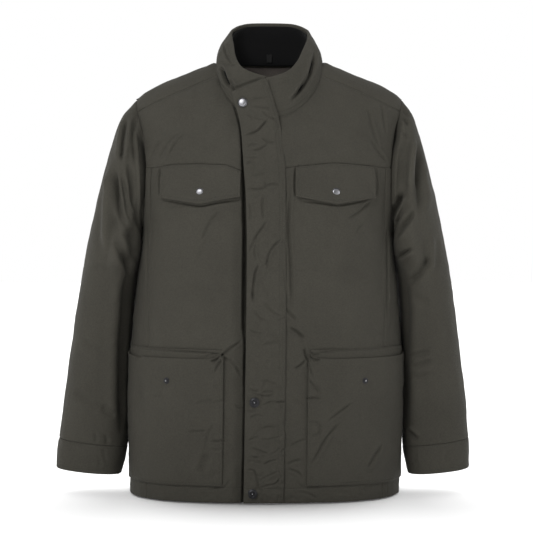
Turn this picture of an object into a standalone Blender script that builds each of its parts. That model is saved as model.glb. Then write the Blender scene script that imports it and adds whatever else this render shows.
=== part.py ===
"""Padded field jacket with a stand collar, a snapped storm flap and four pockets.

The jacket keeps the hollow form that it has on a wearer. Its front faces -Y, +X is the wearer's left and
+Z is up. The origin lies midway between the sides of the neck seam, 3.5 mm below them.

Every piece of cloth is a closed wall between two grids of points. A grid is laid out as a flat pattern in
the front view, and the functions body and sleeve_ring carry it onto the filled-out form.
"""
import math
from collections import namedtuple

import bpy
import bmesh
from mathutils import Matrix, Vector

# ---- walls and gaps, in metres ----
WALL = 0.003
COLLAR_WALL = 0.005
KNIT_WALL = 0.003
FLAP_WALL = 0.0024
TUCKED_WALL = 0.0020
LINING_WALL = 0.0015
SEAM_GAP = 0.0003
LAYER_GAP = 0.0006

# ---- main levels (z) and widths (x) ----
HEM = -0.7587
UNDERARM = -0.300
SHOULDER_TIP = -0.0640
SHOULDER_SEAM_TIP = -0.0886
CHEST_SEAM = -0.190
SIDE_FRONT_SEAM = 0.203
NECK_HALF_WIDTH = 0.0945
NECK_DROP = 0.105
NECK_LEVEL = 0.0035
NECK_RISE = 0.007
SQUARENESS = 0.25
LEAN = 0.0118
LEAN_LEVEL = -0.38

# ---- how finely each stretch is divided ----
NECK_FRONT_STEPS = 5
NECK_BACK_STEPS = 12
SHOULDER_STEPS = 5
ARMHOLE_SIDE_STEPS = 5
ARMHOLE_YOKE_STEPS = 4
ARMHOLE_BACK_STEPS = 13
BACK_UPPER_STEPS = 6
BODY_ROWS = 8
FRONT_COLUMNS = 8
SIDE_COLUMNS = 2
EVENING_PASSES = 40

# The body's level sections, from the neck to the hem: half its width, and how far the front and the back
# stand from the middle.
BodySection = namedtuple("BodySection", "z half_width front back")
BODY = [
    BodySection(0.0200, 0.0550, 0.0200, 0.0540),
    BodySection(0.0035, 0.0945, 0.0290, 0.0670),
    BodySection(-0.0187, 0.1489, 0.0375, 0.0830),
    BodySection(-0.0365, 0.1930, 0.0480, 0.0930),
    BodySection(-0.0543, 0.2250, 0.0595, 0.1015),
    BodySection(-0.0712, 0.2400, 0.0690, 0.1090),
    BodySection(-0.0950, 0.2448, 0.0810, 0.1165),
    BodySection(-0.1200, 0.2460, 0.0920, 0.1230),
    BodySection(-0.1500, 0.2455, 0.1045, 0.1290),
    BodySection(-0.1900, 0.2422, 0.1175, 0.1340),
    BodySection(-0.2300, 0.2360, 0.1260, 0.1370),
    BodySection(-0.2650, 0.2285, 0.1305, 0.1385),
    BodySection(-0.3000, 0.2240, 0.1335, 0.1380),
    BodySection(-0.3500, 0.2270, 0.1350, 0.1360),
    BodySection(-0.4200, 0.2336, 0.1350, 0.1330),
    BodySection(-0.5000, 0.2388, 0.1340, 0.1310),
    BodySection(-0.6000, 0.2397, 0.1330, 0.1320),
    BodySection(-0.7000, 0.2392, 0.1330, 0.1340),
    BodySection(-0.7587, 0.2390, 0.1335, 0.1350),
]

# How far out the armhole seam lies at each level.
ArmholeRow = namedtuple("ArmholeRow", "z x")
ARMHOLE = [
    ArmholeRow(-0.0640, 0.2362),
    ArmholeRow(-0.0886, 0.2318),
    ArmholeRow(-0.1200, 0.2220),
    ArmholeRow(-0.1500, 0.2165),
    ArmholeRow(-0.1900, 0.2125),
    ArmholeRow(-0.2300, 0.2130),
    ArmholeRow(-0.2650, 0.2165),
    ArmholeRow(-0.3000, 0.2240),
]

# The sleeve's rings below the armhole: the outermost and the innermost point in the front view, half the
# ring's depth from front to back, how far back its middle lies, and how much farther out the wearer's
# right sleeve goes.
SleeveRing = namedtuple("SleeveRing", "outer_x outer_z inner_x inner_z depth middle_y fuller")
SLEEVE = [
    SleeveRing(0.2545, -0.0940, 0.2272, -0.3080, 0.0810, 0.004, 0.0050),
    SleeveRing(0.2742, -0.1500, 0.2276, -0.3170, 0.0870, 0.006, 0.0057),
    SleeveRing(0.2926, -0.2180, 0.2280, -0.3280, 0.0880, 0.009, 0.0048),
    SleeveRing(0.3053, -0.2700, 0.2289, -0.3430, 0.0850, 0.011, 0.0040),
    SleeveRing(0.3179, -0.3290, 0.2312, -0.3700, 0.0805, 0.013, 0.0035),
    SleeveRing(0.3332, -0.4180, 0.2372, -0.4380, 0.0745, 0.014, 0.0034),
    SleeveRing(0.3448, -0.5050, 0.2418, -0.5230, 0.0690, 0.013, 0.0033),
    SleeveRing(0.3559, -0.5950, 0.2430, -0.6120, 0.0610, 0.009, 0.0028),
    SleeveRing(0.3616, -0.6630, 0.2445, -0.6780, 0.0530, 0.004, 0.0050),
]
CUFF = [
    SLEEVE[-1],
    SleeveRing(0.3632, -0.6890, 0.2490, -0.7030, 0.0500, 0.001, 0.0062),
    SleeveRing(0.3630, -0.7150, 0.2550, -0.7268, 0.0470, -0.002, 0.0070),
]
SLEEVE_SQUARENESS = 0.12

# The collar's top edge, from the centre front (0 degrees) round by the wearer's left, and how far the
# collar bulges below it. The wearer's right side (over 180) stands wider open.
CollarTop = namedtuple("CollarTop", "angle x y z bulge")
COLLAR_TOP = [
    CollarTop(0.0, 0.0000, -0.0740, -0.0330, 0.0050),
    CollarTop(25.0, 0.0300, -0.0700, -0.0225, 0.0050),
    CollarTop(45.0, 0.0470, -0.0590, -0.0050, 0.0050),
    CollarTop(62.0, 0.0585, -0.0400, 0.0190, 0.0050),
    CollarTop(80.0, 0.0670, -0.0130, 0.0420, 0.0050),
    CollarTop(100.0, 0.0695, 0.0150, 0.0600, 0.0050),
    CollarTop(125.0, 0.0645, 0.0400, 0.0705, 0.0050),
    CollarTop(145.0, 0.0525, 0.0545, 0.0785, 0.0050),
    CollarTop(160.0, 0.0360, 0.0610, 0.0825, 0.0050),
    CollarTop(180.0, 0.0000, 0.0635, 0.0840, 0.0050),
    CollarTop(200.0, -0.0360, 0.0610, 0.0830, 0.0050),
    CollarTop(215.0, -0.0525, 0.0545, 0.0795, 0.0055),
    CollarTop(235.0, -0.0645, 0.0400, 0.0720, 0.0065),
    CollarTop(260.0, -0.0700, 0.0150, 0.0600, 0.0080),
    CollarTop(280.0, -0.0650, -0.0170, 0.0360, 0.0080),
    CollarTop(298.0, -0.0590, -0.0440, 0.0060, 0.0070),
    CollarTop(315.0, -0.0485, -0.0610, -0.0130, 0.0060),
    CollarTop(335.0, -0.0290, -0.0700, -0.0240, 0.0050),
    CollarTop(360.0, 0.0000, -0.0740, -0.0330, 0.0050),
]
COLLAR_ROWS = 4
COLLAR_OPENING = 355.0
COLLAR_GAP = 0.0008
KNIT_GAP = 0.0010
KNIT_BOTTOM = 0.005
KNIT_TOP = 0.93

# The forward shoulder seam runs straight, in the front view, from the neckline to the armhole.
SHOULDER_SEAM_NECK_ANGLE = 75.0

# The storm flap's two edges. It is stitched down along the wearer's left and free along the right, where
# it stands a little farther off.
FlapRow = namedtuple("FlapRow", "z right_edge left_edge")
STORM_FLAP = [
    FlapRow(-0.0480, -0.0645, -0.0050),
    FlapRow(-0.0700, -0.0590, 0.0035),
    FlapRow(-0.0950, -0.0522, 0.0125),
    FlapRow(-0.1200, -0.0480, 0.0200),
    FlapRow(-0.1500, -0.0452, 0.0240),
    FlapRow(-0.1890, -0.0420, 0.0288),
    FlapRow(-0.2480, -0.0372, 0.0303),
    FlapRow(-0.3330, -0.0345, 0.0315),
    FlapRow(-0.5000, -0.0342, 0.0332),
    FlapRow(-0.7580, -0.0350, 0.0328),
]
STORM_FLAP_TOP_SLANT = 0.0250
STORM_FLAP_STITCHED = 0.0009
STORM_FLAP_FREE = 0.0036
STORM_FLAP_ROWS = 17
STORM_FLAP_COLUMNS = 3
COLLAR_FRONT_LEVEL = -0.105
COLLAR_FRONT_DEPTH = 0.0950
COLLAR_FRONT_SLOPE = 0.17
COLLAR_FRONT_CURVE = 1.6
BLEND_BELOW = -0.150
BLEND_ABOVE = -0.105

# ---- pockets and their flaps, as sizes in the front view ----
CHEST_FLAP_INNER = 0.0465
CHEST_FLAP_OUTER = 0.1815
CHEST_FLAP_CORNER = -0.2435
CHEST_FLAP_POINT = -0.2558
CHEST_FLAP_POINT_X = 0.1147
POCKET_INNER = 0.0710
POCKET_TURN = 84.0
POCKET_TOP = -0.5165
POCKET_TOP_RISE = 0.0070
POCKET_SLANT = 0.0030
POCKET_BOTTOM = -0.7310
POCKET_LIFT = 0.0028
POCKET_FLAP_TOP = -0.5005
POCKET_FLAP_BOTTOM = -0.5520
POCKET_FLAP_INSET = 0.0040
POCKET_FLAP_TURN = 82.0

# ---- back neck lining and hanging loop ----
LINING_ROWS = 2
LINING_INSET = 1
LINING_DROP = 0.002
LOOP_HALF_TURN = 3.4
LOOP_BOTTOM = 0.01
LOOP_TOP = 0.22
LOOP_THICKNESS = 0.0016

# ---- snaps ----
SNAP_RADIUS = 0.0084
SNAP_HEIGHT = 0.0026
STUD_RADIUS = 0.0055
STUD_HEIGHT = 0.0030
SNAP_SIDES = 16
STORM_SNAPS = {"top": (-0.0455, -0.0800), "middle": (-0.0185, -0.5888), "low": (-0.0202, -0.7422)}
CHEST_SNAP = (0.1147, -0.2365)
POCKET_STUD = (0.1660, -0.5540)

Finish = namedtuple("Finish", "color roughness metallic")
FINISHES = {
    "shell_cloth": Finish((0.060, 0.057, 0.046), 0.80, 0.0),
    "rib_knit": Finish((0.010, 0.010, 0.011), 0.90, 0.0),
    "lining_cloth": Finish((0.030, 0.026, 0.023), 0.75, 0.0),
    "snap_metal": Finish((0.250, 0.250, 0.270), 0.30, 1.0),
}


# ---- tables and patterns ----

def along(table, column, place):
    """A column's value at a place in a table, on a smooth curve through the table's rows."""
    rows = sorted(table)
    places = [row[0] for row in rows]
    values = [getattr(row, column) for row in rows]
    last = len(rows) - 1
    start = 0
    while start < last - 1 and place > places[start + 1]:
        start += 1

    def slope(row):
        low = max(row - 1, 0)
        high = min(row + 1, last)
        return (values[high] - values[low]) / (places[high] - places[low])

    span = places[start + 1] - places[start]
    t = (place - places[start]) / span
    return ((2 * t**3 - 3 * t**2 + 1) * values[start] + (3 * t**2 - 2 * t**3) * values[start + 1]
            + (t**3 - 2 * t**2 + t) * span * slope(start) + (t**3 - t**2) * span * slope(start + 1))


def mix(start, end, part):
    """The value that lies a part of the way from start to end."""
    return start + (end - start) * part


def ease(part):
    """Smooth step from 0 to 1."""
    part = min(max(part, 0.0), 1.0)
    return part * part * (3 - 2 * part)


def evened(grid):
    """The same grid with its inner points spread evenly."""
    for _ in range(EVENING_PASSES):
        before = grid
        grid = [list(line) for line in before]
        for row in range(1, len(grid) - 1):
            for column in range(1, len(grid[0]) - 1):
                grid[row][column] = (before[row - 1][column] + before[row + 1][column]
                                     + before[row][column - 1] + before[row][column + 1]) / 4
    return grid


def fill(bottom, top, left, right, columns, rows):
    """Grid of flat points inside four edges that meet at their corners, each a function of 0 to 1."""
    grid = []
    for row in range(rows + 1):
        v = row / rows
        line = []
        for column in range(columns + 1):
            u = column / columns
            between_sides = mix(left(v), right(v), u)
            between_ends = mix(bottom(u), top(u), v)
            corners = mix(mix(bottom(0), bottom(1), u), mix(top(0), top(1), u), v)
            line.append(between_sides + between_ends - corners)
        grid.append(line)
    return evened(grid)


# ---- the filled-out body ----

def turn_at(x, z, at_back=False):
    """How far round the body, in degrees, a front-view point lies: 0 is the centre front."""
    turn = math.degrees(math.asin(max(-1.0, min(1.0, x / along(BODY, "half_width", z)))))
    return 180.0 - turn if at_back else turn


def section_point(turn, z):
    """Point of the body's upright form, before its lean."""
    angle = math.radians(turn)
    side, ahead = math.sin(angle), math.cos(angle)
    depth = along(BODY, "front" if ahead > 0 else "back", z)
    return Vector((along(BODY, "half_width", z) * side, -depth * ahead * (1 + SQUARENESS * side * side), z))


def section_normal(turn, z):
    """Outward direction of the body's surface."""
    step = 0.5
    rise = 0.001
    around = section_point(turn + step, z) - section_point(turn - step, z)
    upward = section_point(turn, z + rise) - section_point(turn, z - rise)
    return around.cross(upward).normalized()


def body(turn, z, out=0.0):
    """Point at a distance outside (or, below 0, inside) the body's outer surface."""
    return section_point(turn, z) + section_normal(turn, z) * out


def lean(point):
    """The jacket hangs a little askew: its shoulders to the wearer's left of its hem."""
    return Vector((point.x + LEAN * (point.z - LEAN_LEVEL), point.y, point.z))


def inside_body(x, y, z):
    """Whether a point is inside the body's form."""
    if z > BODY[0].z:
        return False
    half_width = along(BODY, "half_width", z)
    if abs(x) >= half_width:
        return False
    side = x / half_width
    depth = along(BODY, "front" if y < 0 else "back", z)
    return abs(y) < depth * math.sqrt(1 - side * side) * (1 + SQUARENESS * side * side)


def over_shoulder(x, rise):
    """Place (turn, z) where a ray in the plane of x, tilted up from the back, leaves the body."""
    angle = math.radians(rise)
    near, far = 0.0, 0.35
    for _ in range(40):
        reach = (near + far) / 2
        if inside_body(x, reach * math.cos(angle), BACK_SPLIT + reach * math.sin(angle)):
            near = reach
        else:
            far = reach
    z = BACK_SPLIT + near * math.sin(angle)
    return turn_at(x, z, at_back=math.cos(angle) > 0), z


# ---- armhole and neckline ----

ARMHOLE_MIDDLE = (SHOULDER_TIP + UNDERARM) / 2
ARMHOLE_HALF_HEIGHT = (SHOULDER_TIP - UNDERARM) / 2


def armhole_angle(z):
    """Angle round the armhole, in degrees from the underarm up the front, of a level on its front half."""
    return math.degrees(math.acos((ARMHOLE_MIDDLE - z) / ARMHOLE_HALF_HEIGHT))


def armhole_place(angle):
    """Place (turn, z) on the armhole seam. The front half runs up from 0 to 180 degrees."""
    z = ARMHOLE_MIDDLE - ARMHOLE_HALF_HEIGHT * math.cos(math.radians(angle))
    return turn_at(along(ARMHOLE, "x", z), z, at_back=angle > 180), z


def neck_place(angle):
    """Place (turn, z) on the neckline, from the centre front (0) to the centre back (180)."""
    cosine = math.cos(math.radians(angle))
    if angle > 90:
        return angle, mix(NECK_LEVEL, NECK_RISE, -cosine)
    z = mix(NECK_LEVEL, -NECK_DROP, cosine)
    return turn_at(NECK_HALF_WIDTH * math.sin(math.radians(angle)), z), z


CHEST_ANGLE = armhole_angle(CHEST_SEAM)
SHOULDER_SEAM_ANGLE = armhole_angle(SHOULDER_SEAM_TIP)
BACK_ANGLES = [mix(SHOULDER_SEAM_ANGLE, 360.0, k / ARMHOLE_BACK_STEPS)
               for k in range(ARMHOLE_BACK_STEPS + 1)]
ARMHOLE_ANGLES = (
    [CHEST_ANGLE * k / ARMHOLE_SIDE_STEPS for k in range(ARMHOLE_SIDE_STEPS)]
    + [mix(CHEST_ANGLE, SHOULDER_SEAM_ANGLE, k / ARMHOLE_YOKE_STEPS) for k in range(ARMHOLE_YOKE_STEPS)]
    + BACK_ANGLES[:-1])
BACK_SPLIT = armhole_place(BACK_ANGLES[BACK_UPPER_STEPS])[1]
NECK_ANGLES = (
    [SHOULDER_SEAM_NECK_ANGLE * k / NECK_FRONT_STEPS for k in range(NECK_FRONT_STEPS)]
    + [mix(SHOULDER_SEAM_NECK_ANGLE, 360.0 - SHOULDER_SEAM_NECK_ANGLE, k / NECK_BACK_STEPS)
       for k in range(NECK_BACK_STEPS)]
    + [mix(360.0 - SHOULDER_SEAM_NECK_ANGLE, 360.0, k / NECK_FRONT_STEPS) for k in range(NECK_FRONT_STEPS)])


def front_view(place):
    """Flat point (x, z) of a place on the front."""
    turn, z = place
    return Vector((section_point(turn, z).x, z))


def shoulder_seam(part):
    """Flat point on the forward shoulder seam, from the neckline (0) to the armhole (1)."""
    return mix(front_view(neck_place(SHOULDER_SEAM_NECK_ANGLE)),
               front_view(armhole_place(SHOULDER_SEAM_ANGLE)), part)


def body_levels():
    """Levels of the rows of the fronts and sides: even up to the underarm, then at the armhole's points."""
    below = [mix(HEM, UNDERARM, k / BODY_ROWS) for k in range(BODY_ROWS)]
    above = [armhole_place(CHEST_ANGLE * k / ARMHOLE_SIDE_STEPS)[1] for k in range(ARMHOLE_SIDE_STEPS + 1)]
    return below + above


# ---- walls from grids ----

def trimmed(grid, gap):
    """The same grid with its border drawn in by a gap, along the surface."""
    def drawn(point, neighbour):
        return (neighbour - point).normalized() * gap

    rows, columns = len(grid) - 1, len(grid[0]) - 1
    result = [[point.copy() for point in line] for line in grid]
    for row, line in enumerate(grid):
        result[row][0] += drawn(line[0], line[1])
        result[row][columns] += drawn(line[columns], line[columns - 1])
    for column in range(columns + 1):
        result[0][column] += drawn(grid[0][column], grid[1][column])
        result[rows][column] += drawn(grid[rows][column], grid[rows - 1][column])
    return result


def new_object(name, mesh, slot):
    """Object of the jacket in one finish."""
    mesh.materials.append(material(slot))
    piece = bpy.data.objects.new(name, mesh)
    jacket.objects.link(piece)
    return piece


def material(slot):
    """The Principled material of a finish, made once."""
    if slot in bpy.data.materials:
        return bpy.data.materials[slot]
    made = bpy.data.materials.new(slot)
    made.use_nodes = True
    shader = made.node_tree.nodes["Principled BSDF"]
    finish = FINISHES[slot]
    shader.inputs["Base Color"].default_value = (*finish.color, 1.0)
    shader.inputs["Roughness"].default_value = finish.roughness
    shader.inputs["Metallic"].default_value = finish.metallic
    return made


def wall(name, outer, inner, slot="shell_cloth", ring=False):
    """Closed wall of cloth between two like grids of points. In a ring, each row closes on itself."""
    rows, columns = len(outer), len(outer[0])
    spans = columns if ring else columns - 1
    shell = bmesh.new()
    out = [[shell.verts.new(lean(point)) for point in line] for line in outer]
    into = [[shell.verts.new(lean(point)) for point in line] for line in inner]
    for row in range(rows - 1):
        above = row + 1
        for column in range(spans):
            after = (column + 1) % columns
            shell.faces.new((out[row][column], out[row][after], out[above][after], out[above][column]))
            shell.faces.new((into[row][column], into[above][column], into[above][after], into[row][after]))
    for column in range(spans):
        after = (column + 1) % columns
        shell.faces.new((out[0][after], out[0][column], into[0][column], into[0][after]))
        shell.faces.new((out[-1][column], out[-1][after], into[-1][after], into[-1][column]))
    if not ring:
        for row in range(rows - 1):
            shell.faces.new((out[row][0], out[row + 1][0], into[row + 1][0], into[row][0]))
            shell.faces.new((out[row + 1][-1], out[row][-1], into[row][-1], into[row + 1][-1]))
    bmesh.ops.recalc_face_normals(shell, faces=shell.faces[:])
    mesh = bpy.data.meshes.new(name)
    shell.to_mesh(mesh)
    shell.free()
    return new_object(name, mesh, slot)


def body_panel(name, places, side=1, outside=0.0, thickness=WALL, gap=SEAM_GAP / 2, slot="shell_cloth"):
    """Wall over a grid of places (turn, z) of the body. Side -1 gives the wearer's right."""
    outer = [[body(side * turn, z, outside) for turn, z in line] for line in places]
    inner = [[body(side * turn, z, outside - thickness) for turn, z in line] for line in places]
    return wall(name, trimmed(outer, gap), trimmed(inner, gap), slot)


# ---- pieces of the body ----

def add_yokes():
    """Upper fronts: chest seam, armhole, forward shoulder seam, neckline, centre front."""
    columns = NECK_FRONT_STEPS + SHOULDER_STEPS
    corner = front_view(armhole_place(CHEST_ANGLE))

    def chest(u):
        return Vector((corner.x * u, CHEST_SEAM))

    def top(u):
        column = u * columns
        if column <= NECK_FRONT_STEPS:
            return front_view(neck_place(SHOULDER_SEAM_NECK_ANGLE * column / NECK_FRONT_STEPS))
        return shoulder_seam((column - NECK_FRONT_STEPS) / SHOULDER_STEPS)

    def centre(v):
        return Vector((0.0, mix(CHEST_SEAM, -NECK_DROP, v)))

    def armhole(v):
        return front_view(armhole_place(mix(CHEST_ANGLE, SHOULDER_SEAM_ANGLE, v)))

    flat = fill(chest, top, centre, armhole, columns, ARMHOLE_YOKE_STEPS)
    places = [[(turn_at(point.x, point.y), point.y) for point in line] for line in flat]
    for side, letter in ((1, "l"), (-1, "r")):
        body_panel(f"front_yoke_{letter}", places, side)


def outer_turn(z):
    """Where a side panel ends: the side seam, or the armhole above the underarm."""
    if z <= UNDERARM:
        return 90.0
    return turn_at(along(ARMHOLE, "x", z), z)


def add_fronts():
    """Fronts, from the centre to the side-front seam, and side panels, on to the side seam and armhole."""
    fronts = []
    sides = []
    widths = [SIDE_FRONT_SEAM * k / FRONT_COLUMNS for k in range(FRONT_COLUMNS + 1)]
    for z in body_levels():
        fronts.append([(turn_at(width, z), z) for width in widths])
        start = turn_at(SIDE_FRONT_SEAM, z)
        sides.append([(mix(start, outer_turn(z), k / SIDE_COLUMNS), z) for k in range(SIDE_COLUMNS + 1)])
    for side, letter in ((1, "l"), (-1, "r")):
        body_panel(f"front_{letter}", fronts, side)
        body_panel(f"side_{letter}", sides, side)


def back_places():
    """The back's places: up from the hem between the side seams and armholes, then over the shoulders."""
    columns = NECK_BACK_STEPS + 2 * SHOULDER_STEPS
    levels = [(mix(HEM, UNDERARM, k / BODY_ROWS), 90.0) for k in range(BODY_ROWS)]
    for angle in reversed(BACK_ANGLES[BACK_UPPER_STEPS:]):
        turn, z = armhole_place(angle)
        levels.append((z, turn if angle < 360.0 else 90.0))
    places = [[(mix(turn, 360.0 - turn, k / columns), z) for k in range(columns + 1)] for z, turn in levels]
    split_turn = levels[-1][1]

    def plane(place):
        """Flat point (x, rise) of a place on the upper back or over the shoulder."""
        point = section_point(*place)
        return Vector((point.x, math.degrees(math.atan2(point.z - BACK_SPLIT, point.y))))

    def bottom(u):
        return Vector((section_point(mix(split_turn, 360.0 - split_turn, u), BACK_SPLIT).x, 0.0))

    def mirrored(point):
        return Vector((-point.x, point.y))

    def seam_point(part):
        seam = shoulder_seam(part)
        return plane((turn_at(seam.x, seam.y), seam.y))

    def top(u):
        column = u * columns
        if column < SHOULDER_STEPS:
            return seam_point(1 - column / SHOULDER_STEPS)
        if column > columns - SHOULDER_STEPS:
            return mirrored(seam_point(1 - (columns - column) / SHOULDER_STEPS))
        angle = mix(SHOULDER_SEAM_NECK_ANGLE, 360.0 - SHOULDER_SEAM_NECK_ANGLE,
                    (column - SHOULDER_STEPS) / NECK_BACK_STEPS)
        return plane(neck_place(angle)) if angle <= 180.0 else mirrored(plane(neck_place(360.0 - angle)))

    def left(v):
        return plane(armhole_place(mix(BACK_ANGLES[BACK_UPPER_STEPS], SHOULDER_SEAM_ANGLE, v)))

    def right(v):
        return mirrored(left(v))

    for line in fill(bottom, top, left, right, columns, BACK_UPPER_STEPS)[1:]:
        places.append([over_shoulder(point.x, point.y) for point in line])
    return places


# ---- sleeves and cuffs ----

def sleeve_ring(ring, angle, inset=0.0):
    """Point of a sleeve's ring, from its innermost (0 degrees) round the front to its outermost (180)."""
    inner = Vector((ring.inner_x, ring.middle_y, ring.inner_z))
    outer = Vector((ring.outer_x, ring.middle_y, ring.outer_z))
    half = (outer - inner) / 2
    half_width = half.length - inset
    sine, cosine = math.sin(math.radians(angle)), math.cos(math.radians(angle))
    across = half.normalized() * half_width * cosine * (1 + SLEEVE_SQUARENESS * sine * sine)
    ahead = Vector((0.0, -1.0, 0.0)) * (ring.depth - inset) * sine
    return (inner + outer) / 2 - across + ahead


def armhole_rings():
    """The sleeve's first ring, outer and inner: it faces the body's edge and folds down at the underarm."""
    points = [section_point(*armhole_place(angle)) for angle in ARMHOLE_ANGLES]
    count = len(points)
    outer = []
    inner = []
    for k, angle in enumerate(ARMHOLE_ANGLES):
        normal = section_normal(*armhole_place(angle))
        onward = (points[(k + 1) % count] - points[k - 1]).normalized()
        away = onward.cross(normal).normalized()
        fold = math.radians(90.0) * (1 + math.cos(math.radians(angle))) / 2
        start = points[k] + away * SEAM_GAP / 2
        outer.append(start)
        inner.append(start + (away * math.sin(fold) - normal * math.cos(fold)) * WALL)
    return outer, inner


def lifted(rings, end, gap):
    """Rings with the one at an end (0 or -1) drawn in towards its neighbour by a gap."""
    neighbour = 1 if end == 0 else -2
    result = list(rings)
    result[end] = [point + (near - point).normalized() * gap
                   for point, near in zip(rings[end], rings[neighbour])]
    return result


def add_sleeves():
    """Sleeves from the armholes to the cuff seams, and cuffs on to their open ends."""
    armhole_outer, armhole_inner = armhole_rings()

    def rings(table, share, inset):
        placed = [ring._replace(outer_x=ring.outer_x + share * ring.fuller) for ring in table]
        return [[sleeve_ring(ring, angle, inset) for angle in ARMHOLE_ANGLES] for ring in placed]

    def on_side(side, layers):
        return [[Vector((side * point.x, point.y, point.z)) for point in layer] for layer in layers]

    for side, letter, share in ((1, "l", 0.0), (-1, "r", 1.0)):
        outer = lifted([armhole_outer] + rings(SLEEVE, share, 0.0), -1, SEAM_GAP / 2)
        inner = lifted([armhole_inner] + rings(SLEEVE, share, WALL), -1, SEAM_GAP / 2)
        wall(f"sleeve_{letter}", on_side(side, outer), on_side(side, inner), ring=True)
        outer = lifted(rings(CUFF, share, 0.0), 0, SEAM_GAP / 2)
        inner = lifted(rings(CUFF, share, WALL), 0, SEAM_GAP / 2)
        wall(f"cuff_{letter}", on_side(side, outer), on_side(side, inner), ring=True)


# ---- collar ----

def neck_point(angle):
    """Point on the neckline, which runs straight from one point of the body's grids to the next."""
    around = angle % 360.0
    ends = NECK_ANGLES + [360.0]
    after = next(k for k in range(1, len(ends)) if around <= ends[k])

    def corner(at_angle):
        point = section_point(*neck_place(min(at_angle, 360.0 - at_angle)))
        return Vector((-point.x, point.y, point.z)) if at_angle > 180.0 else point

    part = (around - ends[after - 1]) / (ends[after] - ends[after - 1])
    return mix(corner(ends[after - 1]), corner(ends[after]), part)


def collar_place(angle):
    """Base and top point of the collar at an angle round the neck."""
    top = Vector([along(COLLAR_TOP, axis, angle % 360.0) for axis in ("x", "y", "z")])
    return neck_point(angle), top


def collar_point(angle, height, inset=0.0):
    """Point on the collar at a part of its height, at a distance inside its outer surface."""
    def surface(at_angle, at_height):
        base, top = collar_place(at_angle)
        outward = Vector((base.x, base.y, 0.0)).normalized()
        bulge = along(COLLAR_TOP, "bulge", at_angle % 360.0)
        return mix(base, top, at_height) + outward * bulge * math.sin(math.pi * at_height)

    step = 1.0
    slice_height = 0.02
    around = surface(angle + step, height) - surface(angle - step, height)
    upward = surface(angle, height + slice_height) - surface(angle, height - slice_height)
    return surface(angle, height) - around.cross(upward).normalized() * inset


def collar_angles():
    """Angles of the collar's points, from its opening, under the storm flap, round to the opening."""
    return [COLLAR_OPENING - 360.0] + NECK_ANGLES + [COLLAR_OPENING]


def add_collar():
    """Padded outer band and, inside it, the rib knit band, a little lower."""
    angles = collar_angles()

    def band(name, low, high, depth, thickness, slot):
        heights = [low] + [k / COLLAR_ROWS for k in range(1, COLLAR_ROWS)] + [high]
        outer = [[collar_point(angle, height, depth) for angle in angles] for height in heights]
        inner = [[collar_point(angle, height, depth + thickness) for angle in angles] for height in heights]
        wall(name, trimmed(outer, COLLAR_GAP / 2), trimmed(inner, COLLAR_GAP / 2), slot)

    band("collar", 0.0, 1.0, 0.0, COLLAR_WALL, "shell_cloth")
    band("collar_knit", KNIT_BOTTOM, KNIT_TOP, COLLAR_WALL + KNIT_GAP, KNIT_WALL, "rib_knit")


def add_neck_lining(places):
    """Strip of lining against the inside of the back, below the neck seam."""
    first = SHOULDER_STEPS + LINING_INSET
    strip = [line[first:-first] for line in places[-LINING_ROWS - 1:]]
    body_panel("neck_lining", strip, outside=-WALL - LAYER_GAP, thickness=LINING_WALL, gap=LINING_DROP,
               slot="lining_cloth")


def add_neck_loop():
    """Small hanging loop, folded flat, that stands up from the neck seam inside the centre back."""
    depth = COLLAR_WALL + KNIT_GAP + KNIT_WALL + LAYER_GAP
    turns = [180.0 - LOOP_HALF_TURN, 180.0, 180.0 + LOOP_HALF_TURN]
    heights = [mix(LOOP_BOTTOM, LOOP_TOP, k / 3) for k in range(4)]
    outer = [[collar_point(turn, height, depth) for turn in turns] for height in heights]
    inner = [[collar_point(turn, height, depth + LOOP_THICKNESS) for turn in turns] for height in heights]
    wall("neck_loop", outer, inner, "rib_knit")


# ---- storm flap ----

def flap_standoff(part):
    """How far the flap's inner face stands off, a part of the way from its right edge to its left."""
    return mix(STORM_FLAP_FREE, STORM_FLAP_STITCHED, part)


def flap_surface(x, z):
    """Depth (y) of the surface under the storm flap: the body's and, above it, the collar's front."""
    collar = -COLLAR_FRONT_DEPTH + COLLAR_FRONT_SLOPE * (z - COLLAR_FRONT_LEVEL) + COLLAR_FRONT_CURVE * x * x
    if z >= BLEND_ABOVE:
        return collar
    front = section_point(turn_at(x, z), z).y
    return mix(front, collar, ease((z - BLEND_BELOW) / (BLEND_ABOVE - BLEND_BELOW)))


def storm_flap_grid(outside):
    """Grid of the flap, out from its inner face. Its top edge slants down to the wearer's right."""
    grid = []
    for row in range(STORM_FLAP_ROWS + 1):
        level = mix(STORM_FLAP[-1].z, STORM_FLAP[0].z, row / STORM_FLAP_ROWS)
        line = []
        for column in range(STORM_FLAP_COLUMNS + 1):
            part = column / STORM_FLAP_COLUMNS
            rise = ease((level - BLEND_BELOW) / (STORM_FLAP[0].z - BLEND_BELOW))
            z = level + STORM_FLAP_TOP_SLANT * (part - 0.5) * rise
            x = mix(along(STORM_FLAP, "right_edge", level), along(STORM_FLAP, "left_edge", level), part)
            line.append(Vector((x, flap_surface(x, z) - flap_standoff(part) - outside, z)))
        grid.append(line)
    return grid


def add_storm_flap():
    """Flap over the front closure."""
    wall("storm_flap", storm_flap_grid(WALL), storm_flap_grid(0.0))


# ---- pockets ----

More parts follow.
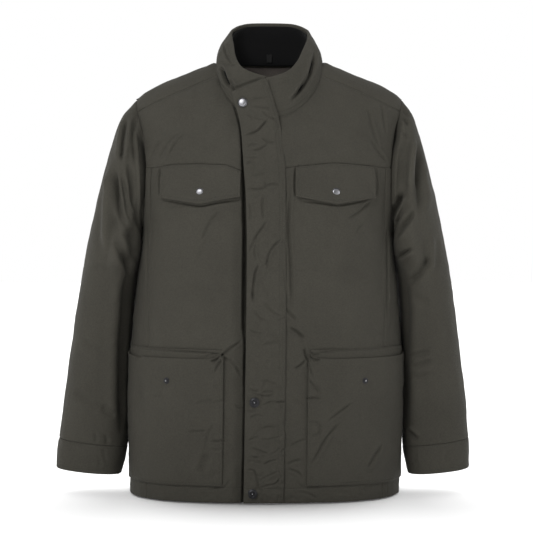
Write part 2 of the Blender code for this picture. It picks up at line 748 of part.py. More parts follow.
def add_chest_flaps():
    """Pointed flaps that hang from the chest seam over the fronts."""
    columns = 6
    rows = 3

    def bottom(u):
        x = mix(CHEST_FLAP_INNER, CHEST_FLAP_OUTER, u)
        reach = CHEST_FLAP_POINT_X - CHEST_FLAP_INNER
        slope = max(0.0, 1 - abs(x - CHEST_FLAP_POINT_X) / reach)
        return Vector((x, mix(CHEST_FLAP_CORNER, CHEST_FLAP_POINT, slope)))

    def top(u):
        return Vector((mix(CHEST_FLAP_INNER, CHEST_FLAP_OUTER, u), CHEST_SEAM - SEAM_GAP))

    def inner_edge(v):
        return mix(bottom(0), top(0), v)

    def outer_edge(v):
        return mix(bottom(1), top(1), v)

    flat = fill(bottom, top, inner_edge, outer_edge, columns, rows)
    places = [[(turn_at(point.x, point.y), point.y) for point in line] for line in flat]
    for side, letter in ((1, "l"), (-1, "r")):
        body_panel(f"chest_flap_{letter}", places, side, LAYER_GAP + FLAP_WALL, FLAP_WALL, gap=0.0)


def add_pockets():
    """Patch pockets, each a little open at the top, where its flap is tucked in."""
    columns = 8
    rows = 6
    for side, letter in ((1, "l"), (-1, "r")):
        outer = []
        inner = []
        for row in range(rows + 1):
            part = row / rows
            lift = LAYER_GAP + POCKET_LIFT * ease(part / 0.75)
            outer.append([])
            inner.append([])
            for column in range(columns + 1):
                across = column / columns
                top = POCKET_TOP + POCKET_SLANT * across + POCKET_TOP_RISE * (2 * across - 1) ** 8
                z = mix(POCKET_BOTTOM, top, part)
                turn = side * mix(turn_at(POCKET_INNER, z), POCKET_TURN, across)
                outer[-1].append(body(turn, z, lift + FLAP_WALL))
                inner[-1].append(body(turn, z, lift))
        wall(f"pocket_{letter}", outer, inner)


def add_pocket_flaps():
    """Flaps folded into the lower pockets, so that only their top strip shows."""
    columns = 8
    rows = 2
    places = []
    for row in range(rows + 1):
        line = []
        for column in range(columns + 1):
            across = column / columns
            z = mix(POCKET_FLAP_BOTTOM, POCKET_FLAP_TOP + POCKET_SLANT * across, row / rows)
            line.append((mix(turn_at(POCKET_INNER + POCKET_FLAP_INSET, z), POCKET_FLAP_TURN, across), z))
        places.append(line)
    for side, letter in ((1, "l"), (-1, "r")):
        body_panel(f"pocket_flap_{letter}", places, side, LAYER_GAP + TUCKED_WALL, TUCKED_WALL, gap=0.0)


# ---- snaps ----

def turned(name, profile, spot, normal):
    """Turned metal piece: a profile of (radius, height), from its top's centre down to its base's centre."""
    mesh = bpy.data.meshes.new(name)
    mesh.from_pydata([(radius, 0.0, height) for radius, height in profile],
                     [(k, k + 1) for k in range(len(profile) - 1)], [])
    piece = new_object(name, mesh, "snap_metal")
    screw = piece.modifiers.new("turn", "SCREW")
    screw.steps = SNAP_SIDES
    screw.render_steps = SNAP_SIDES
    screw.use_merge_vertices = True
    screw.merge_threshold = 0.0001
    screw.use_smooth_shade = True
    piece.matrix_world = Matrix.Translation(spot) @ normal.to_track_quat("Z", "Y").to_matrix().to_4x4()
    return piece


def cap_profile():
    """Low domed cap with an upright rim."""
    shape = [(0.0, 1.0), (0.45, 0.92), (0.8, 0.62), (1.0, 0.30), (1.0, 0.0), (0.0, 0.0)]
    return [(SNAP_RADIUS * radius, SNAP_HEIGHT * height) for radius, height in shape]


def stud_profile():
    """Flat ring with a post in its middle."""
    shape = [(0.0, 1.0), (0.34, 0.93), (0.42, 0.75), (0.36, 0.40), (0.92, 0.40), (1.0, 0.20), (1.0, 0.0),
             (0.0, 0.0)]
    return [(STUD_RADIUS * radius, STUD_HEIGHT * height) for radius, height in shape]


def add_snaps():
    """Caps on the storm flap and chest flaps, and studs on the lower pockets."""
    for name, (x, z) in STORM_SNAPS.items():
        step = 0.004
        across = Vector((2 * step, flap_surface(x + step, z) - flap_surface(x - step, z), 0.0))
        upward = Vector((0.0, flap_surface(x, z + step) - flap_surface(x, z - step), 2 * step))
        normal = across.cross(upward).normalized()
        right, left = along(STORM_FLAP, "right_edge", z), along(STORM_FLAP, "left_edge", z)
        clear = flap_standoff((x - right) / (left - right)) + WALL + LAYER_GAP
        spot = Vector((x, flap_surface(x, z) - clear, z))
        turned(f"snap_storm_{name}", cap_profile(), lean(spot), normal)
    pocket_clear = LAYER_GAP + POCKET_LIFT + FLAP_WALL + LAYER_GAP
    for side, letter in ((1, "l"), (-1, "r")):
        for name, profile, (x, z), out in (
                ("snap_chest", cap_profile(), CHEST_SNAP, FLAP_WALL + 2 * LAYER_GAP),
                ("stud_pocket", stud_profile(), POCKET_STUD, pocket_clear)):
            turn = side * turn_at(x, z)
            turned(f"{name}_{letter}", profile, lean(body(turn, z, out)), section_normal(turn, z))


for leftover in list(bpy.data.objects):
    bpy.data.objects.remove(leftover)
jacket = bpy.data.collections.new("padded_field_jacket")
bpy.context.scene.collection.children.link(jacket)

add_yokes()
add_fronts()
back = back_places()
body_panel("back", back)
add_sleeves()
add_collar()
add_neck_lining(back)
add_neck_loop()
add_storm_flap()
add_chest_flaps()
add_pockets()
add_pocket_flaps()
add_snaps()
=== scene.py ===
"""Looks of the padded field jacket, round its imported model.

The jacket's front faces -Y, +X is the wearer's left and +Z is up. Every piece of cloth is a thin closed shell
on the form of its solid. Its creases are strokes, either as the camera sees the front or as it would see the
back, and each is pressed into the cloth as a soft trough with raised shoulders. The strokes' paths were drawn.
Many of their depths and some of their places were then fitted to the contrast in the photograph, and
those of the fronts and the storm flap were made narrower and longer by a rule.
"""
import math
from collections import namedtuple

import bpy
import numpy as np
from mathutils import Matrix, Vector


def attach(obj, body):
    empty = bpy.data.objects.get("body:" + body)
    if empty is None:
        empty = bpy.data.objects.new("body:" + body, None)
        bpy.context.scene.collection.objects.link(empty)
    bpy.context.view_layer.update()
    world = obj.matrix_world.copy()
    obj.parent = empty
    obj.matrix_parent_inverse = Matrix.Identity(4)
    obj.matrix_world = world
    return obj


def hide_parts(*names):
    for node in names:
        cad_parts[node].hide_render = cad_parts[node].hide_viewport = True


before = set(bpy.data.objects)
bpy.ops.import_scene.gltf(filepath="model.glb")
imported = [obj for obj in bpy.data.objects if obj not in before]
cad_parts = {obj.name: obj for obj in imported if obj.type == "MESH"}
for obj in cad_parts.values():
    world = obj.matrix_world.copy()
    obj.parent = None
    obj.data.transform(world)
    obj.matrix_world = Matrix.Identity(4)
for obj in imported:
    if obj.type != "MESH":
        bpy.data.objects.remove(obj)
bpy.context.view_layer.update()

# ---- walls, gaps and outlines, in metres and degrees, as on the solids ----
WALL = 0.003
COLLAR_WALL = 0.005
KNIT_WALL = 0.003
FLAP_WALL = 0.0024
TUCKED_WALL = 0.0020
LINING_WALL = 0.0015
LAYER_GAP = 0.0006
HEM = -0.7587
UNDERARM = -0.300
SHOULDER_TIP = -0.0640
SHOULDER_SEAM_TIP = -0.0886
CHEST_SEAM = -0.190
SIDE_FRONT_SEAM = 0.203
# Places across the chest seam, on each side, and how far it rises there.
SEAM_ARCH = {1: ([0.0325, 0.073, 0.107, 0.142, 0.195], [-0.0026, 0.0009, 0.0048, 0.0034, 0.0]),
             -1: ([0.045, 0.071, 0.115, 0.157, 0.186, 0.200], [-0.0094, 0.0010, 0.0037, 0.0034, 0.0005, 0.0])}
SEAM_ARCH_SPREAD = 0.030
NECK_HALF_WIDTH = 0.0945
NECK_DROP = 0.105
NECK_LEVEL = 0.0035
NECK_RISE = 0.007
SQUARENESS = 0.25
LEAN = 0.0118
LEAN_LEVEL = -0.38
NECK_FRONT_STEPS = 10
NECK_BACK_STEPS = 24
SHOULDER_STEPS = 10
ARMHOLE_SIDE_STEPS = 8
ARMHOLE_YOKE_STEPS = 8
ARMHOLE_BACK_STEPS = 26
BACK_UPPER_STEPS = 12
BODY_ROWS = 20
FRONT_COLUMNS = 14
SIDE_COLUMNS = 4
EVENING_PASSES = 160
SHOULDER_RAY = 0.35
RAY_HALVINGS = 40

BodySection = namedtuple("BodySection", "z half_width front back")
BODY = [BodySection(*row) for row in (
    (0.0200, 0.0550, 0.0200, 0.0540),
    (0.0035, 0.0945, 0.0290, 0.0670),
    (-0.0187, 0.1489, 0.0375, 0.0830),
    (-0.0365, 0.1930, 0.0480, 0.0930),
    (-0.0543, 0.2250, 0.0595, 0.1015),
    (-0.0712, 0.2400, 0.0690, 0.1090),
    (-0.0950, 0.2448, 0.0810, 0.1165),
    (-0.1200, 0.2460, 0.0920, 0.1230),
    (-0.1500, 0.2455, 0.1045, 0.1290),
    (-0.1900, 0.2422, 0.1175, 0.1340),
    (-0.2300, 0.2360, 0.1260, 0.1370),
    (-0.2650, 0.2285, 0.1305, 0.1385),
    (-0.3000, 0.2240, 0.1335, 0.1380),
    (-0.3500, 0.2270, 0.1350, 0.1360),
    (-0.4200, 0.2336, 0.1350, 0.1330),
    (-0.5000, 0.2388, 0.1340, 0.1310),
    (-0.6000, 0.2397, 0.1330, 0.1320),
    (-0.7000, 0.2392, 0.1330, 0.1340),
    (-0.7587, 0.2390, 0.1335, 0.1350),
)]
ArmholeRow = namedtuple("ArmholeRow", "z x")
ARMHOLE = [ArmholeRow(*row) for row in (
    (-0.0640, 0.2362),
    (-0.0886, 0.2318),
    (-0.1200, 0.2220),
    (-0.1500, 0.2165),
    (-0.1900, 0.2125),
    (-0.2300, 0.2130),
    (-0.2650, 0.2165),
    (-0.3000, 0.2240),
)]
SleeveRing = namedtuple("SleeveRing", "outer_x outer_z inner_x inner_z depth middle_y fuller")
SLEEVE = [SleeveRing(*row) for row in (
    (0.2545, -0.0940, 0.2272, -0.3080, 0.0810, 0.004, 0.0050),
    (0.2742, -0.1500, 0.2276, -0.3170, 0.0870, 0.006, 0.0057),
    (0.2926, -0.2180, 0.2280, -0.3280, 0.0880, 0.009, 0.0048),
    (0.3053, -0.2700, 0.2289, -0.3430, 0.0850, 0.011, 0.0040),
    (0.3179, -0.3290, 0.2312, -0.3700, 0.0805, 0.013, 0.0035),
    (0.3332, -0.4180, 0.2372, -0.4380, 0.0745, 0.014, 0.0034),
    (0.3448, -0.5050, 0.2418, -0.5230, 0.0690, 0.013, 0.0033),
    (0.3559, -0.5950, 0.2430, -0.6120, 0.0610, 0.009, 0.0028),
    (0.3616, -0.6630, 0.2445, -0.6780, 0.0530, 0.004, 0.0050),
)]
CUFF = [
    SLEEVE[-1],
    SleeveRing(0.3632, -0.6890, 0.2490, -0.7030, 0.0500, 0.001, 0.0062),
    SleeveRing(0.3630, -0.7150, 0.2550, -0.7268, 0.0470, -0.002, 0.0070),
]
SLEEVE_SQUARENESS = 0.12
TUCK_LOW = -0.30
TUCK_HIGH = -0.075
TUCK_DEPTH = 0.009
TUCK_REACH = 0.0045
TUCK_FRONT = 0.02
TUCK_FADE = 0.05
SWELL = 0.0150
SWELL_LEVEL = -0.320
SWELL_SPREAD = 0.044
SWELL_WAY = 0.7
SWELL_FACING = (0.60, 0.35)
SLEEVE_MIDDLE = 0.01
SLEEVE_TOP_REACH = 0.008
CollarTop = namedtuple("CollarTop", "angle x y z bulge")
COLLAR_TOP = [CollarTop(*row) for row in (
    (0.0, 0.0000, -0.0740, -0.0330, 0.0050),
    (25.0, 0.0300, -0.0700, -0.0225, 0.0050),
    (45.0, 0.0470, -0.0590, -0.0050, 0.0050),
    (62.0, 0.0585, -0.0400, 0.0190, 0.0050),
    (80.0, 0.0670, -0.0130, 0.0420, 0.0050),
    (100.0, 0.0695, 0.0150, 0.0600, 0.0050),
    (125.0, 0.0645, 0.0400, 0.0705, 0.0050),
    (145.0, 0.0525, 0.0545, 0.0785, 0.0050),
    (160.0, 0.0360, 0.0610, 0.0825, 0.0050),
    (180.0, 0.0000, 0.0635, 0.0840, 0.0050),
    (200.0, -0.0360, 0.0610, 0.0830, 0.0050),
    (215.0, -0.0525, 0.0545, 0.0795, 0.0055),
    (235.0, -0.0645, 0.0400, 0.0720, 0.0065),
    (260.0, -0.0700, 0.0150, 0.0600, 0.0080),
    (280.0, -0.0650, -0.0170, 0.0360, 0.0080),
    (298.0, -0.0590, -0.0440, 0.0060, 0.0070),
    (315.0, -0.0485, -0.0610, -0.0130, 0.0060),
    (335.0, -0.0290, -0.0700, -0.0240, 0.0050),
    (360.0, 0.0000, -0.0740, -0.0330, 0.0050),
)]
COLLAR_ROWS = 6
COLLAR_COLUMNS = 72
COLLAR_STITCH = 0.0065
COLLAR_FILL = 0.35
COLLAR_TAIL = 0.0050
KNIT_TAIL = 0.0040
LINING_TAIL = 0.0070
COLLAR_OPENING = 355.0
KNIT_GAP = 0.0010
KNIT_BOTTOM = 0.005
KNIT_TOP = 0.93
RIB_DEPTH = 0.00045
RIB_PITCH = 0.0042
LINING_ROWS = 5
LINING_INSET = 2
SHOULDER_SEAM_NECK_ANGLE = 75.0
FlapRow = namedtuple("FlapRow", "z right_edge left_edge")
STORM_FLAP = [FlapRow(*row) for row in (
    (-0.0480, -0.0645, -0.0050),
    (-0.0700, -0.0590, 0.0035),
    (-0.0950, -0.0522, 0.0125),
    (-0.1200, -0.0480, 0.0200),
    (-0.1500, -0.0452, 0.0240),
    (-0.1890, -0.0420, 0.0288),
    (-0.2480, -0.0372, 0.0303),
    (-0.3330, -0.0345, 0.0315),
    (-0.5000, -0.0342, 0.0332),
    (-0.7580, -0.0350, 0.0328),
)]
STORM_FLAP_TOP_SLANT = 0.0250
STORM_FLAP_STITCHED = 0.0009
STORM_FLAP_FREE = 0.0036
STORM_FLAP_ROWS = 34
STORM_FLAP_COLUMNS = 6
STORM_FLAP_PUCKER = 0.4
COLLAR_FRONT_LEVEL = -0.105
COLLAR_FRONT_DEPTH = 0.0950
COLLAR_FRONT_SLOPE = 0.17
COLLAR_FRONT_CURVE = 1.6
BLEND_BELOW = -0.150
BLEND_ABOVE = -0.105
CHEST_FLAP_INNER = 0.0465
CHEST_FLAP_OUTER = 0.1815
CHEST_FLAP_CORNER = -0.2435
CHEST_FLAP_POINT = -0.2558
CHEST_FLAP_POINT_X = 0.1147
CHEST_FLAP_GAP = 0.0003
CHEST_FLAP_COLUMNS = 24
CHEST_FLAP_ROWS = 12
FLAP_LIFT = 0.0042
FLAP_LIFT_BOTTOM = 0.020
FLAP_LIFT_SIDES = 0.010
FLAP_LIFT_TOP = 0.030
FLAP_SINK = 0.0022
FLAP_SINK_REACH = 0.007
FLAP_SINK_LEVELS = (-0.19, 0.04)
POCKET_INNER = 0.0710
POCKET_TURN = 84.0
POCKET_TOP = -0.5165
POCKET_TOP_RISE = 0.0070
POCKET_TOP_POWER = 8
POCKET_SLANT = 0.0030
POCKET_BOTTOM = -0.7310
POCKET_LIFT = 0.0028
POCKET_LIFT_FULL = 0.75
POCKET_ROWS = 18
POCKET_COLUMNS = 16
POCKET_FLAP_TOP = -0.5005
POCKET_FLAP_BOTTOM = -0.5520
POCKET_FLAP_INSET = 0.0040
POCKET_FLAP_TURN = 82.0
POCKET_FLAP_ROWS = 8
POCKET_FLAP_PUCKER = 0.5
LOOP_HALF_TURN = 3.4
LOOP_BOTTOM = 0.01
LOOP_TOP = 0.22
LOOP_THICKNESS = 0.0016
LOOP_CROWN = 0.0004
LOOP_COLUMNS = 4
STORM_SNAPS = {"top": (-0.0455, -0.0800), "middle": (-0.0185, -0.5888), "low": (-0.0202, -0.7422)}
CHEST_SNAP = (0.1147, -0.2365)
POCKET_STUD = (0.1660, -0.5540)

# ---- the camera, level and about as far off as in the photograph, and the light ----
PICTURE_WIDTH = 533
CAMERA_DISTANCE = 2.4
CAMERA_LEVEL = -0.3596
CAMERA_SIDE = 267.0
CAMERA_ROW = 266.0
POINT_SIZE = 0.00178
SENSOR_WIDTH = 36.0
CAMERA_SEES = 60.0
FRONT_SURROUND = 0.22
TOP_SHARE = 0.5
SURROUND_LOW = -0.35
SURROUND_HIGH = 0.85
FLOOR_HALF = 30.0
FLOOR_GAP = 0.002
FLOOR_GLOW = 0.06
GROUND_LIGHT = 2.4
GROUND_LIGHT_SPREAD = 60.0
GROUND_LIGHT_SIDE = 0.76
GROUND_LIGHT_WAY = (0.65, 0.84)
LIT_MIDDLE = (0.0, 0.0, -0.35)
# Each light's place, its size in metres and its power in watts.
LIGHTS = {"key": ((-1.8, -2.9, 2.3), 1.5, 102.0), "fill": ((2.2, -1.6, 0.4), 1.2, 13.0)}

# ---- how finely the cloth is laid out, and how its edges are finished ----
MM = 0.001
SIDES = ((1, "l"), (-1, "r"))
INSIDE = (0.0, 0.0, -0.3)
KNIT_STEP_UP = 0.0035
INNER_LINES = 2
ROUND_OFF = 0.0018
SEAM_DIP = 0.0007
SEAM_SHARE = 0.42
SEAM_SPREAD = 0.0022
PUCKER = 0.28
PUCKER_REACH = 0.006
EDGE_MARKS = (0.0, 0.00025, 0.0007, 0.0014, 0.0024)
CREASE_PATCHES = (0.05, 0.35)
CREASE_GAIN = 2.2
SLEEVE_GAIN = 2.2
HIDDEN_GAIN = 0.8
HIDDEN_LOWER = 6.0
SLIT_GAIN = 1.6
BACK_GAIN = 1.5
# Where strokes start to press in, and how much further on they press in fully: the first two by how squarely
# the cloth faces the camera, and the third by how far it is from its sleeve's middle, in metres.
FACING = (-0.02, 0.30)
SLEEVE_FACING = (0.2, 0.45)
BEYOND_MIDDLE = (0.004, 0.030)
# Painted shade and painted light: how much darker a fold is painted and how much lighter a ridge, for each
# metre of depth, and at most, and how many times more painted shade a slit gets.
FOLD_SHADE = 18.0
FOLD_SHADE_MOST = 0.72
SLIT_SHADE = 3.0
RIDGE_PAINTED_LIGHT = 14.0
RIDGE_PAINTED_LIGHT_MOST = 0.12
GROOVE_DEPTH = 0.00045
GROOVE_WIDTH = 0.0007
GROOVE_MARKS = (-0.0013, -0.0005, 0.0, 0.0005, 0.0013)
STITCH_LENGTH = 0.0026
STITCH_PITCH = 0.0034
STITCH_HALF_WIDTH = 0.00032
STITCH_FLATNESS = 0.8
STITCH_SHOULDER = 0.28
STITCH_SINK = 0.3
STITCH_ENDS = 0.003
STITCH_LIFT = 0.5
# Each piece's cloth: the step of its grid, its wall and its edges as Shell takes them, in metres, and its
# unevenness (broad, middle and fine swells, and short creases), in millimetres.
Cloth = namedtuple("Cloth", "step wall edges waves")
FOLD = ("fold", [])
SEAM = ("seam", [])
HEMMED = ("fold", [0.0245])
CHEST_FLAP_EDGE = ("fold", [0.0045])
POCKET_EDGE = ("seam", [0.004])
FRONT_WAVES = (0.8, 0.6, 0.20, 0.5)
SLEEVE_WAVES = (0.8, 0.35, 0.10, 0.3)
CLOTHS = {
    "front_yoke": Cloth(0.0018, WALL, {"bottom": SEAM, "top": ("seam", [0.004]), "right": SEAM}, FRONT_WAVES),
    "front": Cloth(0.0018, WALL, {"bottom": HEMMED, "top": SEAM, "right": ("seam", [0.0042])}, FRONT_WAVES),
    "side": Cloth(0.0024, WALL, {"bottom": HEMMED, "top": SEAM, "left": ("seam", [0.0095]), "right": SEAM},
                  FRONT_WAVES),
    "back": Cloth(0.0040, WALL, {"bottom": HEMMED, "top": SEAM, "left": SEAM, "right": SEAM},
                  (0.9, 0.5, 0.12, 0.35)),
    "sleeve": Cloth(0.0027, WALL, {"bottom": SEAM, "top": SEAM}, SLEEVE_WAVES),
    "cuff": Cloth(0.0027, WALL, {"bottom": ("fold", [0.005]), "top": ("seam", [0.003])}, SLEEVE_WAVES),
    "collar": Cloth(0.0019, COLLAR_WALL, {"bottom": ("fold", [COLLAR_TAIL + COLLAR_STITCH])},
                    (0.7, 0.5, 0.12, 0.3)),
    "collar_knit": Cloth(0.0008, KNIT_WALL, {}, (0, 0, 0)),
    "neck_lining": Cloth(0.003, LINING_WALL, {}, (0.2, 0.1, 0.03)),
    "neck_loop": Cloth(0.0012, LOOP_THICKNESS, {}, (0, 0, 0)),
    "storm_flap": Cloth(0.0016, WALL, {"bottom": HEMMED, "right": ("seam", [0.0042, 0.0100])},
                        (0.6, 1.1, 0.45, 1.4)),
    "chest_flap": Cloth(0.0018, FLAP_WALL, {"bottom": CHEST_FLAP_EDGE, "top": ("seam", [0.0035]),
                                            "left": CHEST_FLAP_EDGE, "right": CHEST_FLAP_EDGE},
                        (0.5, 0.3, 0.10, 0.2)),
    "pocket": Cloth(0.0018, FLAP_WALL, {"bottom": POCKET_EDGE, "left": POCKET_EDGE, "right": POCKET_EDGE},
                    FRONT_WAVES),
    "pocket_flap": Cloth(0.0018, TUCKED_WALL, {"top": ("seam", [0.0050])}, (0.5, 0.25, 0.06)),
}


# ---- tables and grids ----

def along(table, column, place):
    """A column's values at places in a table, on a smooth curve through the table's rows."""
    rows = sorted(table)
    places = np.array([row[0] for row in rows])
    values = np.array([getattr(row, column) for row in rows])
    slopes = np.zeros(len(values))
    slopes[1:-1] = (values[2:] - values[:-2]) / (places[2:] - places[:-2])
    slopes[0] = (values[1] - values[0]) / (places[1] - places[0])
    slopes[-1] = (values[-1] - values[-2]) / (places[-1] - places[-2])
    start = np.clip(np.searchsorted(places, place) - 1, 0, len(rows) - 2)
    span = places[start + 1] - places[start]
    t = (place - places[start]) / span
    return ((2 * t**3 - 3 * t**2 + 1) * values[start] + (3 * t**2 - 2 * t**3) * values[start + 1]
            + (t**3 - 2 * t**2 + t) * span * slopes[start] + (t**3 - t**2) * span * slopes[start + 1])


def mix(start, end, part):
    """The value that lies a part of the way from start to end."""
    return start + (end - start) * part


def ease(part):
    """Smooth step from 0 to 1."""
    part = np.clip(part, 0.0, 1.0)
    return part * part * (3 - 2 * part)


def ramp(value, start, span):
    """Smooth step from 0 at start to 1 a span further on."""
    return ease((value - start) / span)


def bell(distance, reach):
    """1 at no distance, and almost 0 from two reaches on."""
    return np.exp(-(distance / reach)**2)


def unit(vectors):
    """The same vectors, one long."""
    return vectors / np.linalg.norm(vectors, axis=-1, keepdims=True)


def stacked(*columns):
    """Points from their coordinates."""
    return np.stack(np.broadcast_arrays(*columns), axis=-1)


def fill(bottom, top, left, right):
    """Grid of points inside four rows of edge points, with its inner points spread evenly."""
    rows, columns = len(left), len(bottom)
    v = np.linspace(0.0, 1.0, rows)[:, None, None]
    u = np.linspace(0.0, 1.0, columns)[None, :, None]
    grid = (mix(left[:, None], right[:, None], u) + mix(bottom[None], top[None], v)
            - mix(mix(bottom[0], bottom[-1], u), mix(top[0], top[-1], u), v))
    for _ in range(EVENING_PASSES):
        grid[1:-1, 1:-1] = (grid[:-2, 1:-1] + grid[2:, 1:-1] + grid[1:-1, :-2] + grid[1:-1, 2:]) / 4
    return grid


def resample(lines, places, closed=False):
    """Points on smooth curves through a grid's lines, at places counted in lines."""
    if closed:
        padded = np.concatenate([lines[-1:], lines, lines[:2]])
    else:
        padded = np.concatenate([2 * lines[:1] - lines[1:2], lines, 2 * lines[-1:] - lines[-2:-1]])
    start = np.clip(np.floor(places).astype(int), 0, len(padded) - 4)
    t = (places - start).reshape([-1] + [1] * (lines.ndim - 1))
    p0, p1, p2, p3 = (padded[start + k] for k in range(4))
    return 0.5 * (2 * p1 + (p2 - p0) * t + (2 * p0 - 5 * p1 + 4 * p2 - p3) * t**2
                  + (3 * p1 - p0 - 3 * p2 + p3) * t**3)


def spread(lines, step, marks_before, marks_after, closed=False):
    """Distances across a grid's lines, about a step apart and at marks, and the same counted in lines."""
    ring = np.concatenate([lines, lines[:1]]) if closed else lines
    lengths = np.concatenate([[0.0], np.cumsum(np.linalg.norm(np.diff(ring, axis=0), axis=-1).mean(axis=1))])
    total = lengths[-1]
    even = np.linspace(0.0, total, max(2, round(total / step)) + 1)
    if closed:
        return even[:-1], np.interp(even[:-1], lengths, np.arange(len(lengths))), total
    marks = np.concatenate([np.array(marks_before), total - np.array(marks_after)])
    clear = np.abs(even[:, None] - marks[None]).min(axis=1) > step * 0.4
    metres = np.sort(np.concatenate([marks, even[clear]]))
    return metres, np.interp(metres, lengths, np.arange(len(lengths))), total


# ---- the filled-out body ----

def turn_at(x, z, at_back=False):
    """How far round the body, in degrees, a front-view point lies: 0 is the centre front."""
    turn = np.degrees(np.arcsin(np.clip(x / along(BODY, "half_width", z), -1.0, 1.0)))
    return np.where(at_back, 180.0 - turn, turn)


def section_point(turn, z):
    """Point of the body's upright form, before its lean."""
    side, ahead = np.sin(np.radians(turn)), np.cos(np.radians(turn))
    depth = np.where(ahead > 0, along(BODY, "front", z), along(BODY, "back", z))
    return stacked(along(BODY, "half_width", z) * side, -depth * ahead * (1 + SQUARENESS * side * side), z)


def section_normal(turn, z):
    """Outward direction of the body's surface."""
    around = section_point(turn + 0.5, z) - section_point(turn - 0.5, z)
    upward = section_point(turn, z + 0.001) - section_point(turn, z - 0.001)
    return unit(np.cross(around, upward))


def body(turn, z, out):
    """Point at a distance outside the body's outer surface."""
    return section_point(turn, z) + section_normal(turn, z) * np.asarray(out)[..., None]


def lean(points):
    """The jacket hangs a little askew: its shoulders to the wearer's left of its hem."""
    leant = np.array(points)
    leant[..., 0] += LEAN * (leant[..., 2] - LEAN_LEVEL)
    return leant


def inside_body(x, y, z):
    """Whether points are inside the body's form."""
    half_width = along(BODY, "half_width", z)
    side = np.clip(x / half_width, -1.0, 1.0)
    depth = np.where(y < 0, along(BODY, "front", z), along(BODY, "back", z))
    within = np.abs(y) < depth * np.sqrt(1 - side * side) * (1 + SQUARENESS * side * side)
    return within & (z <= BODY[0].z) & (np.abs(x) < half_width)


def over_shoulder(x, rise):
    """Places (turn, z) where rays in the plane of x, tilted up from the back, leave the body."""
    angle = np.radians(rise)
    near, far = np.zeros_like(x), np.full_like(x, SHOULDER_RAY)
    for _ in range(RAY_HALVINGS):
        reach = (near + far) / 2
        within = inside_body(x, reach * np.cos(angle), BACK_SPLIT + reach * np.sin(angle))
        near, far = np.where(within, reach, near), np.where(within, far, reach)
    z = BACK_SPLIT + near * np.sin(angle)
    return turn_at(x, z, at_back=np.cos(angle) > 0), z


ARMHOLE_MIDDLE = (SHOULDER_TIP + UNDERARM) / 2
ARMHOLE_HALF_HEIGHT = (SHOULDER_TIP - UNDERARM) / 2


def armhole_angle(z):
    """Angle round the armhole, in degrees from the underarm up the front, of a level on its front half."""
    return math.degrees(math.acos((ARMHOLE_MIDDLE - z) / ARMHOLE_HALF_HEIGHT))


def armhole_place(angle):
    """Places (turn, z) on the armhole seam. The front half runs up from 0 to 180 degrees."""
    z = ARMHOLE_MIDDLE - ARMHOLE_HALF_HEIGHT * np.cos(np.radians(angle))
    return turn_at(along(ARMHOLE, "x", z), z, at_back=np.asarray(angle) > 180), z


def neck_place(angle):
    """Places (turn, z) on the neckline, from the centre front (0) to the centre back (180)."""
    cosine, sine = np.cos(np.radians(angle)), np.sin(np.radians(angle))
    z = np.where(cosine < 0, mix(NECK_LEVEL, NECK_RISE, -cosine), mix(NECK_LEVEL, -NECK_DROP, cosine))
    return np.where(cosine < 0, angle, turn_at(NECK_HALF_WIDTH * sine, z)), z


CHEST_ANGLE = armhole_angle(CHEST_SEAM)
SHOULDER_SEAM_ANGLE = armhole_angle(SHOULDER_SEAM_TIP)
BACK_ANGLES = np.linspace(SHOULDER_SEAM_ANGLE, 360.0, ARMHOLE_BACK_STEPS + 1)
ARMHOLE_ANGLES = np.concatenate([
    np.linspace(0.0, CHEST_ANGLE, ARMHOLE_SIDE_STEPS, endpoint=False),
    np.linspace(CHEST_ANGLE, SHOULDER_SEAM_ANGLE, ARMHOLE_YOKE_STEPS, endpoint=False),
    BACK_ANGLES[:-1]])
BACK_SPLIT = float(armhole_place(BACK_ANGLES[BACK_UPPER_STEPS])[1])


def front_view(place):
    """Flat points (x, z) of places on the front."""
    turn, z = place
    return stacked(section_point(turn, z)[..., 0], z)


def shoulder_seam(part):
    """Flat points on the forward shoulder seam, from the neckline (0) to the armhole (1)."""
    part = np.asarray(part)[..., None]
    return mix(front_view(neck_place(SHOULDER_SEAM_NECK_ANGLE)),
               front_view(armhole_place(SHOULDER_SEAM_ANGLE)), part)


